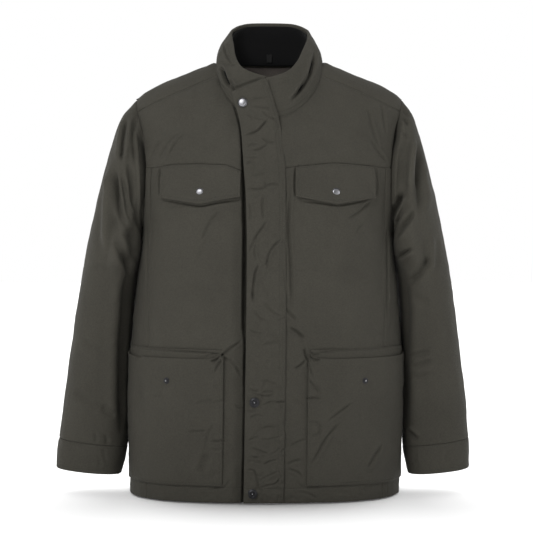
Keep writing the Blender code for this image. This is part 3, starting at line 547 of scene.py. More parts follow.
# ---- where the cloth's creases run ----
# Each stroke is its depth in mm, its half width in picture points, which shoulder is the higher (-1 to 1,
# above 0 the one on the left of the stroke's way), and how far across and down the picture each of its points
# lies. A depth below 0 is a ridge.
FRONT_STROKES = [
    # pull lines over the wearer's right chest
    (0.68, 1.2, 0.4, 156.5, 162.5, 168, 143, 182, 130),
    (0.81, 1.2, 0, 166.5, 158.5, 176, 142, 188, 131),
    (0.74, 1.5, 0, 148.5, 160.5, 156, 146, 164, 138),
    (0.93, 1.3, 0.3, 201, 242.5, 210, 222, 224, 208),
    (0.37, 1.4, 0, 194.5, 264.5, 204, 246, 209, 233),
    (0.68, 1.7, 0, 161.5, 214, 172, 206, 189, 206),
    # pull lines on the wearer's left chest
    (0.98, 1.3, 0.4, 367.5, 104, 371, 122, 376, 138, 380.5, 152),
    (1.1, 1.4, 0, 380.5, 101, 384, 118, 386.5, 135),
    (1.2, 1.3, 0.3, 370.5, 137.5, 379, 152, 388, 162.5),
    (0.19, 1.3, 0.3, 328, 205.5, 341, 208, 355, 209.5),
    (1.1, 1.4, -0.4, 373, 199, 363, 208.5, 355.5, 214.5, 347, 219),
    (0.56, 1.3, 0, 370.5, 220.5, 361, 227, 354.5, 236.5),
    # round the chest flaps
    (1.5, 1, 0, 160.5, 164, 160, 172, 160, 186, 160.5, 194, 161, 199),
    (1.5, 1, 0, 158.5, 198, 164, 200.5, 182, 203.5, 200, 206, 216, 203, 246, 199),
    (1.5, 1, 0, 296, 164, 295.5, 172, 295, 186, 295.5, 194, 296.5, 200),
    (1.3, 1, 0, 294, 198.5, 302, 201, 320, 203, 337, 205, 354, 202.5, 379, 197),
    (1, 1.3, 0, 377, 164, 377, 172, 377.5, 186, 377, 192, 376, 199),
    # hand-pocket openings in the side-front seams
    (1.2, 1.1, 0, 147, 224, 147, 240, 147, 280, 146.6, 312, 146.4, 326),
    (1.6, 1.1, 0, 387, 222, 387, 240, 387, 280, 387, 322),
    # along the storm flap's stitched side
    (1.6, 1.4, 0.3, 291.5, 178, 289.5, 206, 288.5, 228, 290.5, 262, 291.5, 300, 291.5, 318),
    (1.3, 1.1, -0.5, 284, 306, 290.5, 314.5, 298, 320.5),
    (1.9, 1.1, -0.5, 288.5, 326.5, 297, 332, 305.5, 339),
    (0.43, 1, 0, 301, 335, 304, 344, 308.5, 352.5),
    (1.2, 1.2, 0.4, 293.5, 369.5, 301, 365, 307, 359),
    (0.62, 1, 0, 290, 400.5, 299.5, 402, 305.5, 408.5),
    (0.68, 1.2, 0.3, 288.5, 447.5, 297, 442.5, 308, 438.5),
    (0.74, 1.2, 0, 286, 466, 294.5, 461.5, 304, 460),
    (1.1, 1.2, 0, 287, 469, 296, 472, 303.5, 478),
    (0.37, 1.3, 0.3, 293, 478, 301, 486, 310, 488.5, 324, 487),
    (0.74, 1.3, 0, 297, 491.5, 308, 494, 318.5, 499.5),
    # between the storm flap's free side and the wearer's right pocket
    (1.2, 1.3, 0.4, 222, 355.5, 230.5, 348.5, 242, 341),
    (1.1, 1.3, -0.4, 222.5, 356.5, 232, 362, 237, 368, 242.5, 377.5),
    (0.99, 1, 0, 233.5, 404.5, 239, 407.5, 245, 409.5),
    (0.43, 1.2, 0.3, 205, 490, 218, 488.5, 225, 487, 233, 477.5),
    # wearer's right pocket
    (1.1, 1.1, 0.4, 214, 374.5, 217, 366.5, 222.5, 358),
    (0.56, 1, 0, 211, 387.5, 218, 386, 225, 386),
    (0.74, 1, 0, 211, 402, 218, 402, 226, 400.5),
    (0.74, 1.2, 0, 195, 403.5, 203, 402, 213, 400.5),
    (0.87, 1.2, 0, 188, 432, 198, 432, 208, 430.5),
    (0.68, 1.7, 0, 204.5, 455, 208, 436, 215.5, 421.5),
    (1.3, 3.4, 0, 200, 476, 204, 462, 208, 452),
    (0.31, 1.7, 0, 137, 395, 148, 399, 161, 395),
    (0.8, 3.4, 0, 134, 372, 140, 388, 138, 408),
    (1.1, 1.2, 0, 210, 441.5, 218, 441.5, 226, 440),
    (0.5, 1.2, 0, 209, 448.5, 218, 450, 226, 448.5),
    (2, 1.1, 0, 208.5, 361.5, 215, 360.5, 219, 357.5, 225.5, 352),
    (1.5, 1.1, 0, 216.5, 350.5, 221, 355, 226, 360, 229.5, 364.5),
    (1.8, 1.2, 0, 126.5, 348, 131, 351.5, 136, 355, 142.5, 357.5),
    # wearer's left pocket
    (2, 1.1, 0, 304, 346.5, 305, 353, 307, 358, 311.5, 362.5),
    (1.7, 1.1, 0, 307.5, 354.5, 312, 358.5, 316, 360, 321.5, 359.5),
    (1.8, 1.2, 0, 401, 344.5, 397, 349, 392, 352.5, 386.5, 353.5),
    (1.2, 1.4, 0.5, 344.5, 419.5, 332, 432, 324, 443, 317, 456, 309, 469.5),
    (0.93, 1.2, 0.3, 354.5, 401, 343, 410, 334, 417, 326.5, 423),
    (1.2, 1.2, 0, 308, 378.5, 314, 386, 321, 394.5),
    (0.87, 1.2, 0, 306.5, 359.5, 310.5, 369.5, 314.5, 379.5),
    (1.2, 1.1, 0, 305, 399.5, 313, 398, 322, 399.5),
    (0.81, 1.2, 0.3, 305, 423.5, 314.5, 422, 320, 426.5, 319, 434, 308.5, 437),
    (1.2, 1.6, 0, 383.5, 443.5, 375, 456, 367.5, 470.5),
    (0.31, 1.7, 0, 349.5, 448.5, 344, 438, 346.5, 425),
    (0.25, 1.7, 0, 358.5, 417.5, 366, 430, 376.5, 435.5),
    # beside the sleeves
    (0.19, 1.3, 0, 137, 321, 141, 308, 138.5, 295),
    (0.43, 1.3, 0, 387, 333, 391, 322, 392, 307),
    (0.37, 1.7, 0, 368, 319.5, 376, 330, 386.5, 335.5),
    # across the fronts, broad and faint
    (0.6, 6, 0, 160, 300, 190, 290, 222, 296),
    (0.6, 7, 0, 176, 330, 204, 322, 232, 318),
    (0.6, 6, 0, 310, 262, 338, 272, 372, 268),
    (0.6, 7, 0, 312, 312, 340, 300, 378, 306),
    (0.5, 5, 0, 200, 130, 212, 120, 226, 116),
    (0.5, 6, 0, 302, 148, 324, 140, 350, 146),
]
# The front closes under the storm flap: the panel on the flap's free side turns in below it. Level in the
# picture, the place where it turns in, and how deep it goes, in mm.
TURN_IN = [
    (78, 224.0, 1.5), (100, 230.5, 4.0), (110, 234.0, 5.0), (120, 237.0, 6.0), (130, 239.0, 7.0),
    (140, 240.0, 9.0), (150, 240.6, 12.0), (170, 241.2, 15.0), (230, 241.8, 15.0), (260, 241.6, 15.0),
    (300, 241.2, 14.0), (330, 241.4, 11.0), (338, 242.8, 7.5), (345, 243.2, 7.5), (360, 242.8, 9.5),
    (380, 242.4, 7.0), (400, 242.8, 6.5), (430, 242.2, 6.5), (450, 242.0, 7.5), (470, 241.4, 7.5),
    (510, 240.6, 6.5),
]
# How gently it turns in, the soft roll that leads to that, and the picture rows over which the roll fades in.
TURN_IN_SPREAD = 1.7
TURN_IN_LEAD = 11.0
TURN_IN_ROLL = 0.0042
TURN_IN_ROLL_ROWS = (170, 90)
# A stroke's ends and their width, its pieces between two points, and its reach and shoulders in widths.
STROKE_END = 0.26
STROKE_TAPER = 0.70
STROKE_PIECES = 5
STROKE_REACH = 5
STROKE_SHOULDER = 0.42
STROKE_SHOULDER_PLACE = 1.9
STROKE_SHOULDER_SPREAD = 1.1
POCKET_FLAP_STROKES = [
    (0.9, 1, 0, 128, 346, 160, 349.5, 195, 352, 226, 354),
    (0.9, 1, 0, 306, 353.5, 340, 350.5, 370, 348.5, 402, 345.5),
    (1.2, 1.2, 0, 204, 357, 212, 354.5, 221, 355.5),
    (1.2, 1.2, 0, 308, 352, 314, 355, 322, 354),
]
FLAP_STROKES = [
    (0.74, 1, 0.3, 245.5, 110, 256, 118, 265, 119.5),
    (0.99, 1, 0.3, 261.5, 110.5, 269, 116.5, 277, 119.5),
    (1.3, 1, 0.4, 243.5, 135.5, 255.5, 131.5, 261.5, 126.5, 269.5, 117),
    (1.1, 0.95, 0, 260.5, 137, 268, 141.5, 276, 143),
    (1.1, 0.97, 0.3, 251, 150, 259.5, 149, 269, 142.5),
    (0.37, 0.97, 0, 244, 149.5, 252, 151, 258, 157),
    (0.62, 0.95, 0, 244, 156, 251, 157.5, 259, 156),
    (1.1, 0.97, 0.4, 247, 187.5, 256, 189, 262, 188, 270, 185),
    (0.99, 0.95, 0, 259, 186.5, 270, 184, 281, 184),
    (1.1, 1.2, 0.3, 263.5, 193, 262.5, 208, 264, 222),
    (1.2, 1.2, 0.5, 269, 216.5, 262.5, 228, 256.5, 236, 252.5, 245, 248, 253.5),
    (0.43, 1, -0.4, 255.5, 235, 257, 249, 260, 258, 262.5, 269),
    (1.2, 1.1, 0.5, 284.5, 237, 275, 245, 270, 252, 267.5, 260, 267, 273),
    (1.6, 1.2, 0.5, 261, 261, 256, 271, 254, 282, 253, 294, 253, 306),
    (0.81, 1, 0, 262, 300.5, 271, 311, 283, 318.5),
    (0.81, 1, 0, 253.5, 310, 259.5, 317.5, 267, 322),
    (0.43, 1.2, 0, 270, 332, 276, 338, 281.5, 348.5),
    (0.68, 0.95, 0, 260, 380.5, 269, 382, 279, 385),
    (0.93, 0.95, 0.3, 253, 393, 261, 396, 273, 396),
    (0.87, 0.95, 0.3, 261.5, 406.5, 270, 402, 280, 402, 291, 402),
    (0.56, 0.97, 0, 244, 410.5, 252, 412, 259, 408),
    (0.62, 0.97, 0.3, 257, 438.5, 268, 440, 276, 438, 284, 435),
    (0.87, 0.97, 0, 250.5, 447.5, 260.5, 451.5, 269.5, 454.5),
    (0.56, 0.95, 0, 267.5, 456.5, 276, 452, 283, 445),
    (0.43, 0.97, 0, 245, 462, 256, 462, 266, 465),
    (1.2, 0.95, -0.5, 244, 470.5, 252.5, 470.5, 255.5, 474.5, 257.5, 482, 259, 493),
    (0.43, 1, 0.4, 256.5, 484.5, 264, 478.5, 272, 474.5, 283.5, 469.5),
    (0.81, 0.97, 0.3, 258.5, 488.5, 268.5, 485.5, 275.5, 484, 282, 476),
    (0.31, 0.95, 0, 253, 475.5, 262, 477, 268, 484.5),
    (0.5, 5, 0, 268, 160, 266, 172, 262, 180),
    # finer crumple
    (0.8, 1, 0, 249, 99.5, 257, 98.5, 267, 97),
    (0.9, 1, 0.3, 251, 106, 260, 106.5, 268, 108.5, 272, 114),
    (0.8, 1, 0, 246, 113, 250, 116, 254, 120),
    (0.8, 1, 0, 247, 147, 252, 144, 258, 144.5),
    (0.7, 1, 0, 246, 164, 250, 162, 255, 161),
    (0.7, 1, 0, 252, 176, 259, 174, 266, 174.5),
    (0.8, 1, 0.3, 250, 200, 250.5, 212, 249.5, 224),
    (0.9, 1, 0.3, 257, 236, 255, 248, 255.5, 262),
    (0.8, 1, 0, 248, 330, 256, 333, 264, 333),
    (0.7, 1, 0, 262, 346, 270, 343, 279, 342),
    (0.9, 1, 0, 248, 388, 253, 391, 259, 391.5),
    (0.9, 1, 0, 262, 394, 267, 391, 274, 392),
    (0.8, 1, 0, 249, 419, 255, 416, 262, 416),
    (0.8, 1, 0.3, 262, 430, 268, 427, 276, 427.5),
    (0.9, 1, 0, 248, 441, 254, 438, 260, 436),
    (0.9, 1, 0, 264, 465, 270, 461.5, 278, 460),
    (0.8, 1, 0, 248, 455, 254, 457.5, 260, 458),
]
COLLAR_STROKES = [
    (6.3, 1.9, -0.5, 315.5, 48, 314.5, 57, 312.5, 66, 310, 74, 306.5, 80.5, 302.5, 87, 298.5, 92.5, 292.5, 100),
    (3, 1.5, 0, 306, 80, 300.5, 88, 295.5, 95, 290, 103),
    (0.4, 1.3, 0, 305, 88, 300, 94, 294, 100),
    (1.2, 1.8, 0, 276, 83, 284, 81, 293, 78),
    (2, 1.5, 0.8, 215, 62, 222, 63, 230, 64.5, 238, 66.5),
    (2.8, 1.1, 0.3, 223.5, 40, 224.5, 48, 227, 56, 231, 62.5, 236, 66),
    (6.5, 1.7, -0.3, 220, 65, 223, 72, 225.5, 79, 229, 88),
    (3.9, 1.4, 0, 221.5, 68, 225.5, 77, 228.5, 84, 231, 90.5),
    (6.5, 1.6, 0.4, 229.5, 79, 231.5, 84.5, 234.5, 91),
    (2.3, 1.05, 0, 229.5, 91.5, 239.5, 86.5, 251.5, 82, 266.5, 77),
]
SLITS_R = [
    (8, 2, -0.4, 136.5, 122, 138.5, 137, 141, 150, 142.8, 166, 143.8, 183, 143, 200, 141, 216),
]
SLEEVE_R_STROKES = [
    (3.2, 1.8, 0.5, 137, 112, 134.5, 124, 133.5, 136, 134.5, 150, 135, 164),
    (4.2, 2.2, 0.4, 127, 116, 124, 130, 122, 146, 121, 164),
    (-4, 4.2, 0, 110, 160, 108, 190, 106.5, 214, 106, 240, 106, 256),
    (4, 3, 0.3, 113, 168, 116, 186, 119, 204, 122, 218, 124, 228),
    (3, 2.2, 0.4, 121, 172, 124, 190, 126, 206, 128, 224),
    (2.4, 2.2, 0.2, 128, 160, 130, 176, 131, 196, 132, 210),
    (5, 7, 0.2, 130, 222, 129, 238, 128, 256, 129, 270),
    (3.6, 3, 0.5, 117, 232, 118, 246, 121, 256, 126, 266, 130, 278),
    (8, 6.5, 0.2, 127, 256, 129, 280, 128, 310, 126, 350, 125, 400, 124, 440),
    (0.7, 3, 0.3, 92, 270, 102, 266, 112, 272),
    (0.4, 2.6, 0.3, 112, 347, 118, 343, 124, 337),
    (1, 3.4, 0, 82, 340, 92, 346, 104, 350),
    (1.2, 4, 0, 102, 404, 109, 412, 116, 416),
    (1, 3.6, 0, 74, 390, 84, 398, 94, 400),
    (0.7, 2, 0, 104, 434, 107, 439, 106, 446),
    (0.5, 1.8, 0, 95, 431, 96, 438, 96, 444),
]
CUFF_R_STROKES = [
    (0.6, 1.7, 0, 103, 448, 104, 455, 106, 463),
    (0.5, 1.7, 0, 99, 456, 100, 463, 99, 470),
]
SLITS_L = [
    (8, 2.2, 0.4, 401, 112, 399.5, 122, 396.5, 138, 393, 155, 391, 172, 391, 195, 392, 208),
]
SLEEVE_L_STROKES = [
    (6, 2.8, 0.2, 403, 192, 399, 201, 395, 210, 392, 220),
    (-4, 3.4, 0, 415, 136, 414, 150, 412, 170, 411, 192),
    (4.6, 4.6, -0.2, 419, 136, 419, 156, 419, 180, 420, 198, 420, 216),
    (2.8, 2.2, 0.4, 415, 208, 411, 217, 406, 227, 399, 243),
    (1.6, 2.2, 0.4, 404, 206, 401, 216, 398, 226),
    (2.6, 2, -0.4, 394, 248, 398, 254, 402, 256.5, 408, 252, 416, 245),
    (2.8, 3.4, 0.4, 430, 254, 424, 266, 417, 276, 407, 285),
    (-1.6, 3, 0, 432, 234, 432, 250, 431, 262, 427, 272),
    (0.8, 3.4, 0, 412, 292, 420, 300, 432, 302),
    (1.2, 2.4, 0, 409, 356, 420, 354, 432, 350),
    (1.4, 2.4, 0.2, 410, 366, 421, 365, 433, 360),
    (0.7, 2.4, 0, 411, 377, 422, 376, 432, 372),
    (0.7, 3, 0, 440, 320, 446, 330, 448, 344),
    (2.4, 2.2, 0.3, 405, 429, 411, 434, 418, 440),
    (5.5, 6, -0.2, 402, 262, 403, 290, 403, 330, 402, 380, 403, 440),
    (1.6, 1.6, 0, 403, 106, 405, 113, 409, 118),
    (2.2, 1.6, 0, 402, 116, 405, 121, 409, 125),
    (1.2, 1.6, 0, 400, 130, 404, 134, 408, 139),
    (0.5, 1.8, 0, 440, 431, 441, 438, 440, 444),
]
CUFF_L_STROKES = [
    (0.5, 1.8, 0, 416, 450, 415, 458, 417, 466),
    (0.5, 2, 0, 448, 448, 446, 456, 447, 464),
]
# The hidden back, as a camera behind the jacket would see it.
BACK_STROKES = [
    (2, 3.6, 0.4, 142, 150, 152, 166, 160, 184, 172, 202),
    (1.6, 3.4, 0.3, 140, 172, 148, 188, 158, 204),
    (1.3, 3.6, 0, 146, 214, 158, 224, 174, 230),
    (2, 3.6, -0.4, 392, 148, 382, 166, 374, 186, 362, 204),
    (1.5, 3.4, -0.3, 394, 176, 386, 192, 374, 206),
    (1.2, 3.6, 0, 388, 218, 374, 228, 360, 234),
    (0.9, 5, 0, 214, 98, 240, 106, 268, 104, 300, 98),
    (0.8, 6, 0, 176, 128, 214, 136, 252, 132),
    (0.8, 6, 0, 282, 140, 316, 134, 352, 130),
    (1, 5, 0.2, 200, 262, 232, 270, 270, 266, 306, 272),
    (0.9, 5, 0, 158, 290, 190, 300, 226, 298),
    (1, 5, 0.2, 296, 304, 334, 296, 372, 302),
    (0.9, 4.6, 0, 176, 342, 214, 334, 250, 340, 288, 336),
    (0.8, 5, 0, 302, 356, 336, 350, 370, 358),
    (0.9, 4, 0.2, 226, 470, 222, 444, 228, 412, 224, 390),
    (0.9, 4, -0.2, 312, 478, 316, 448, 310, 420, 314, 396),
    (0.8, 4, 0, 166, 486, 164, 460, 170, 436),
    (0.8, 4, 0, 368, 488, 372, 458, 366, 430),
    (0.7, 4, 0, 268, 500, 270, 476, 266, 456),
]


def strokes_relief(u, v, strokes):
    """How far out (or, below 0, in) strokes push the cloth at points of a picture, in metres."""
    relief = np.zeros_like(u)
    for depth, width, bias, *path in strokes:
        path = np.array(path, dtype=float).reshape(-1, 2)
        spans = len(path) - 1
        path = resample(path, np.linspace(0, spans, STROKE_PIECES * spans + 1))
        reach = STROKE_REACH * width
        low, high = path.min(axis=0) - reach, path.max(axis=0) + reach
        near = (u > low[0]) & (u < high[0]) & (v > low[1]) & (v < high[1])
        if not near.any():
            continue
        spot = np.stack([u[near], v[near]], axis=-1)
        lengths = np.linalg.norm(np.diff(path, axis=0), axis=1)
        before = np.concatenate([[0.0], np.cumsum(lengths)])
        best = np.full(len(spot), np.inf)
        side = np.zeros(len(spot))
        part = np.zeros(len(spot))
        for k, length in enumerate(lengths):
            way = (path[k + 1] - path[k]) / length
            offset = spot - path[k]
            reached = np.clip(offset @ way, 0.0, length)
            away = offset - reached[:, None] * way
            distance = np.linalg.norm(away, axis=1)
            closer = distance < best
            best = np.where(closer, distance, best)
            side = np.where(closer, np.sign(way[1] * away[:, 0] - way[0] * away[:, 1]), side)
            part = np.where(closer, (before[k] + reached) / before[-1], part)
        fade = ease(part / STROKE_END) * ease((1 - part) / STROKE_END)
        q = best / (width * mix(STROKE_TAPER, 1.0, fade))
        shoulders = bell(q - STROKE_SHOULDER_PLACE, STROKE_SHOULDER_SPREAD)
        shoulders = STROKE_SHOULDER * (1 + bias * side) * shoulders
        relief[near] += -MM * depth * fade * (np.exp(-q * q) - shoulders)
    return relief


def picture(points, from_behind=False):
    """Where the camera, or one like it behind the jacket, sees points."""
    x, y = (-points[..., 0], -points[..., 1]) if from_behind else (points[..., 0], points[..., 1])
    nearness = CAMERA_DISTANCE / (CAMERA_DISTANCE + y) / POINT_SIZE
    return CAMERA_SIDE + x * nearness, CAMERA_ROW - (points[..., 2] - CAMERA_LEVEL) * nearness


def make_waves(seed, count, longest, shortest):
    """Wave vectors and phases of waves that add up to a random smooth field."""
    dice = np.random.default_rng(seed)
    ways = unit(dice.normal(size=(count, 3)))
    lengths = np.exp(dice.uniform(math.log(shortest), math.log(longest), count))
    return ways * (2 * math.pi / lengths)[:, None], dice.uniform(0, 2 * math.pi, count)


def field(points, waves):
    """Random smooth field of about -1 to 1 at points."""
    ways, phases = waves
    total = np.zeros(points.shape[:-1])
    for way, phase in zip(ways, phases):
        total += np.cos(points @ way + phase)
    return total / math.sqrt(len(phases) / 2) / 2


BROAD_WAVES = make_waves(3, 22, 0.110, 0.050)
MIDDLE_WAVES = make_waves(5, 26, 0.042, 0.020)
FINE_WAVES = make_waves(7, 30, 0.016, 0.008)
PUCKER_WAVES = make_waves(11, 24, 0.013, 0.0075)
CREASE_WAVES = make_waves(13, 24, 0.075, 0.030)
CREASE_LINE = 0.13


# ---- materials ----

def feed(tree, node, inputs):
    """Gives a node's inputs their values, or links them to the sockets that feed them."""
    for key, value in inputs.items():
        if isinstance(value, bpy.types.NodeSocket):
            tree.links.new(value, node.inputs[key])
        else:
            node.inputs[key].default_value = value
    return node


def add_node(tree, kind, inputs=None, **settings):
    """New node with its settings and inputs."""
    node = tree.nodes.new("ShaderNode" + kind)
    for setting, value in settings.items():
        setattr(node, setting, value)
    return feed(tree, node, inputs or {})


def new_look(name):
    """New material, its node tree and its main shader."""
    look = bpy.data.materials.new(name)
    look.use_nodes = True
    return look, look.node_tree, look.node_tree.nodes["Principled BSDF"]


def add_noise(tree, place, scale, detail):
    """Noise that sits still on the object."""
    inputs = {"Scale": scale, "Detail": detail, "Vector": place["Object"]}
    return add_node(tree, "TexNoise", inputs).outputs["Fac"]


def cloth_material(name, color, roughness, thread, weave_depth, mottle, sheen):
    """Woven cloth: two sets of threads, slightly uneven dye, and painted shade in its folds and painted light on
    its ridges.
    """
    look, tree, shader = new_look(name)
    place = add_node(tree, "TexCoord").outputs

    def sum_up(operation, first, second):
        return add_node(tree, "Math", {0: first, 1: second}, operation=operation).outputs[0]

    def ridges(direction):
        texture = add_node(tree, "TexWave", {"Scale": WAVE_LENGTH / thread, "Distortion": 0.6, "Detail": 1.0,
                                             "Detail Scale": 1.5, "Vector": place["UV"]},
                           wave_type="BANDS", bands_direction=direction)
        return texture.outputs["Fac"]

    weave = sum_up("MAXIMUM", ridges("X"), ridges("Y"))
    dye = sum_up("MULTIPLY", sum_up("SUBTRACT", add_noise(tree, place, DYE_SCALE, 6.0), 0.5), mottle)
    grain = sum_up("SUBTRACT", add_noise(tree, place, GRAIN_SCALE, 3.0), 0.5)
    grain = sum_up("MULTIPLY", grain, mottle * GRAIN_SHARE)
    shade = sum_up("ADD", sum_up("ADD", dye, grain), sum_up("MULTIPLY", weave, WEAVE_SHADE))
    # Painted shade in the folds and painted light on the ridges, from a value that each point of the mesh carries.
    painted_relief_light = add_node(tree, "Attribute", attribute_name="wear").outputs["Fac"]
    factor = sum_up("MULTIPLY", sum_up("ADD", shade, SHADE_LEVEL), sum_up("ADD", painted_relief_light, 1.0))
    tint = add_node(tree, "Mix", {"Factor": 1.0, 6: (*color, 1.0), 7: factor}, data_type="RGBA",
                    blend_type="MULTIPLY")
    height = sum_up("ADD", weave, sum_up("MULTIPLY", add_noise(tree, place, GRAIN_SCALE, 2.0), GRAIN_BUMP))
    bump = add_node(tree, "Bump", {"Strength": 0.35, "Distance": weave_depth, "Height": height})
    feed(tree, shader, {"Roughness": roughness, "Specular IOR Level": 0.16, "Sheen Weight": sheen,
                        "Sheen Roughness": 0.5, "Base Color": tint.outputs[2], "Normal": bump.outputs["Normal"]})
    return look


def metal_material(name, color, roughness):
    """Plated metal with faint scuffs."""
    look, tree, shader = new_look(name)
    scuffs = add_noise(tree, add_node(tree, "TexCoord").outputs, SCUFF_SCALE, 4.0)
    low, high = (roughness * share for share in SCUFF_ROUGHNESS)
    rough = add_node(tree, "MapRange", {"To Min": low, "To Max": high, "Value": scuffs})
    darker = [c * SCUFF_SHADE for c in color]
    tint = add_node(tree, "Mix", {6: (*darker, 1.0), 7: (*color, 1.0), "Factor": scuffs}, data_type="RGBA")
    feed(tree, shader, {"Metallic": 1.0, "Roughness": rough.outputs["Result"], "Base Color": tint.outputs[2]})
    return look


# The first is the length of a wave texture's waves at scale 1.
WAVE_LENGTH = 0.314
DYE_SCALE = 11.0
GRAIN_SCALE = 420.0
GRAIN_SHARE = 1.9
GRAIN_BUMP = 1.2
WEAVE_SHADE = 0.16
SHADE_LEVEL = 0.90
SCUFF_SCALE = 700.0
SCUFF_ROUGHNESS = (0.7, 1.5)
SCUFF_SHADE = 0.7

# Each cloth's colour, roughness, thread width, weave depth, mottle and sheen; each metal's colour and roughness.
SHELL = cloth_material("shell_cloth_look", (0.0434, 0.0408, 0.0328), 0.80, 0.00055, 0.00030, 0.32, 0.02)
THREAD = cloth_material("thread_look", (0.048, 0.046, 0.037), 0.70, 0.00030, 0.00010, 0.10, 0.05)
KNIT = cloth_material("rib_knit_look", (0.0028, 0.0028, 0.0030), 0.90, 0.00080, 0.00040, 0.30, 0.03)
LINING = cloth_material("lining_look", (0.215, 0.188, 0.170), 0.62, 0.00040, 0.00020, 0.16, 0.03)
TAPE = cloth_material("loop_tape_look", (0.0065, 0.0065, 0.0065), 0.70, 0.00050, 0.00030, 0.30, 0.03)
METAL = metal_material("snap_look", (0.33, 0.33, 0.345), 0.36)
DARK_METAL = metal_material("snap_rim_look", (0.045, 0.045, 0.048), 0.44)
LOOKS = {"shell_cloth": SHELL, "rib_knit": KNIT, "lining_cloth": LINING, "snap_metal": METAL}


JACKET = bpy.data.collections.new("jacket")
TRUNK = bpy.data.collections.new("trunk")


# ---- shells of cloth ----

def new_object(name, data):
    """New object in the scene."""
    made = bpy.data.objects.new(name, data)
    bpy.context.scene.collection.objects.link(made)
    return made


def new_piece(name, mesh, look, nodes=()):
    """Object that rides on the jacket's one body and stands for the named solids."""
    piece = new_object(name, mesh)
    JACKET.objects.link(piece)
    if not name.startswith(("sleeve", "cuff")):
        TRUNK.objects.link(piece)
    for each in look if isinstance(look, list) else [look]:
        mesh.materials.append(each)
    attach(piece, "root")
    if nodes:
        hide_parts(*nodes)
    return piece


def mesh_from(name, points, faces, uv=None, wear=None):
    """Smooth-shaded mesh, turned right side out. Its faces come in one array for each number of corners."""
    groups = [np.array(group) for group in faces if len(group)]
    volume = 0.0
    for corners in groups:
        first = points[corners[:, 0]]
        for k in range(1, corners.shape[1] - 1):
            second, third = points[corners[:, k]], points[corners[:, k + 1]]
            volume += np.einsum("ij,ij->i", first, np.cross(second, third)).sum()
    if volume < 0:
        groups = [corners[:, ::-1] for corners in groups]
    order = np.concatenate([corners.ravel() for corners in groups])
    sizes = np.concatenate([np.full(len(corners), corners.shape[1]) for corners in groups])
    mesh = bpy.data.meshes.new(name)
    mesh.vertices.add(len(points))
    mesh.vertices.foreach_set("co", points.ravel())
    mesh.loops.add(len(order))
    mesh.loops.foreach_set("vertex_index", order)
    mesh.polygons.add(len(sizes))
    mesh.polygons.foreach_set("loop_start", np.concatenate([[0], np.cumsum(sizes)[:-1]]))
    if uv is not None:
        layer = mesh.uv_layers.new(name="UVMap")
        layer.data.foreach_set("uv", uv[order].ravel())
    # Each point's painted shade in folds and painted light on ridges, for the cloth's material.
    if wear is not None:
        mesh.attributes.new("wear", "FLOAT", "POINT").data.foreach_set("value", wear)
    mesh.update(calc_edges=True)
    mesh.validate()
    mesh.polygons.foreach_set("use_smooth", np.ones(len(mesh.polygons), dtype=bool))
    return mesh


def lowest_near(values, closed):
    """The least of the values near each point of a grid."""
    lowest = values
    for _ in range(INNER_LINES):
        padded = np.pad(lowest, ((1, 1), (0, 0)), mode="edge")
        lowest = np.minimum(np.minimum(padded[:-2], padded[2:]), lowest)
        padded = np.pad(lowest, ((0, 0), (1, 1)), mode="wrap" if closed else "edge")
        lowest = np.minimum(np.minimum(padded[:, :-2], padded[:, 2:]), lowest)
    return lowest


def thinned(index, closed):
    """Faces over every other line of a grid of point numbers, whose outline still has all its points."""
    rows, columns = index.shape
    kept_rows = sorted({*range(0, rows, INNER_LINES), rows - 1})
    kept_columns = sorted({*range(0, columns, INNER_LINES), columns - 1})
    groups = {}
    for low, high in zip(kept_rows, kept_rows[1:]):
        for left, right in zip(kept_columns, kept_columns[1:]):
            bottom = range(left, right) if low == 0 else [left]
            top = range(right, left, -1) if high == rows - 1 else [right]
            outer_right = range(low, high) if right == columns - 1 and not closed else [low]
            outer_left = range(high, low, -1) if left == 0 and not closed else [high]
            ring = ([index[low, k] for k in bottom] + [index[k, right] for k in outer_right]
                    + [index[high, k] for k in top] + [index[k, left] for k in outer_left])
            groups.setdefault(len(ring), []).append(ring)
    return [np.array(group) for group in groups.values()]


def grid_normals(points, closed):
    """Directions across a grid's surface: its rows' way crossed with its columns' way."""
    if closed:
        across = np.roll(points, -1, axis=1) - np.roll(points, 1, axis=1)
    else:
        across = np.gradient(points, axis=1)
    return unit(np.cross(across, np.gradient(points, axis=0)))


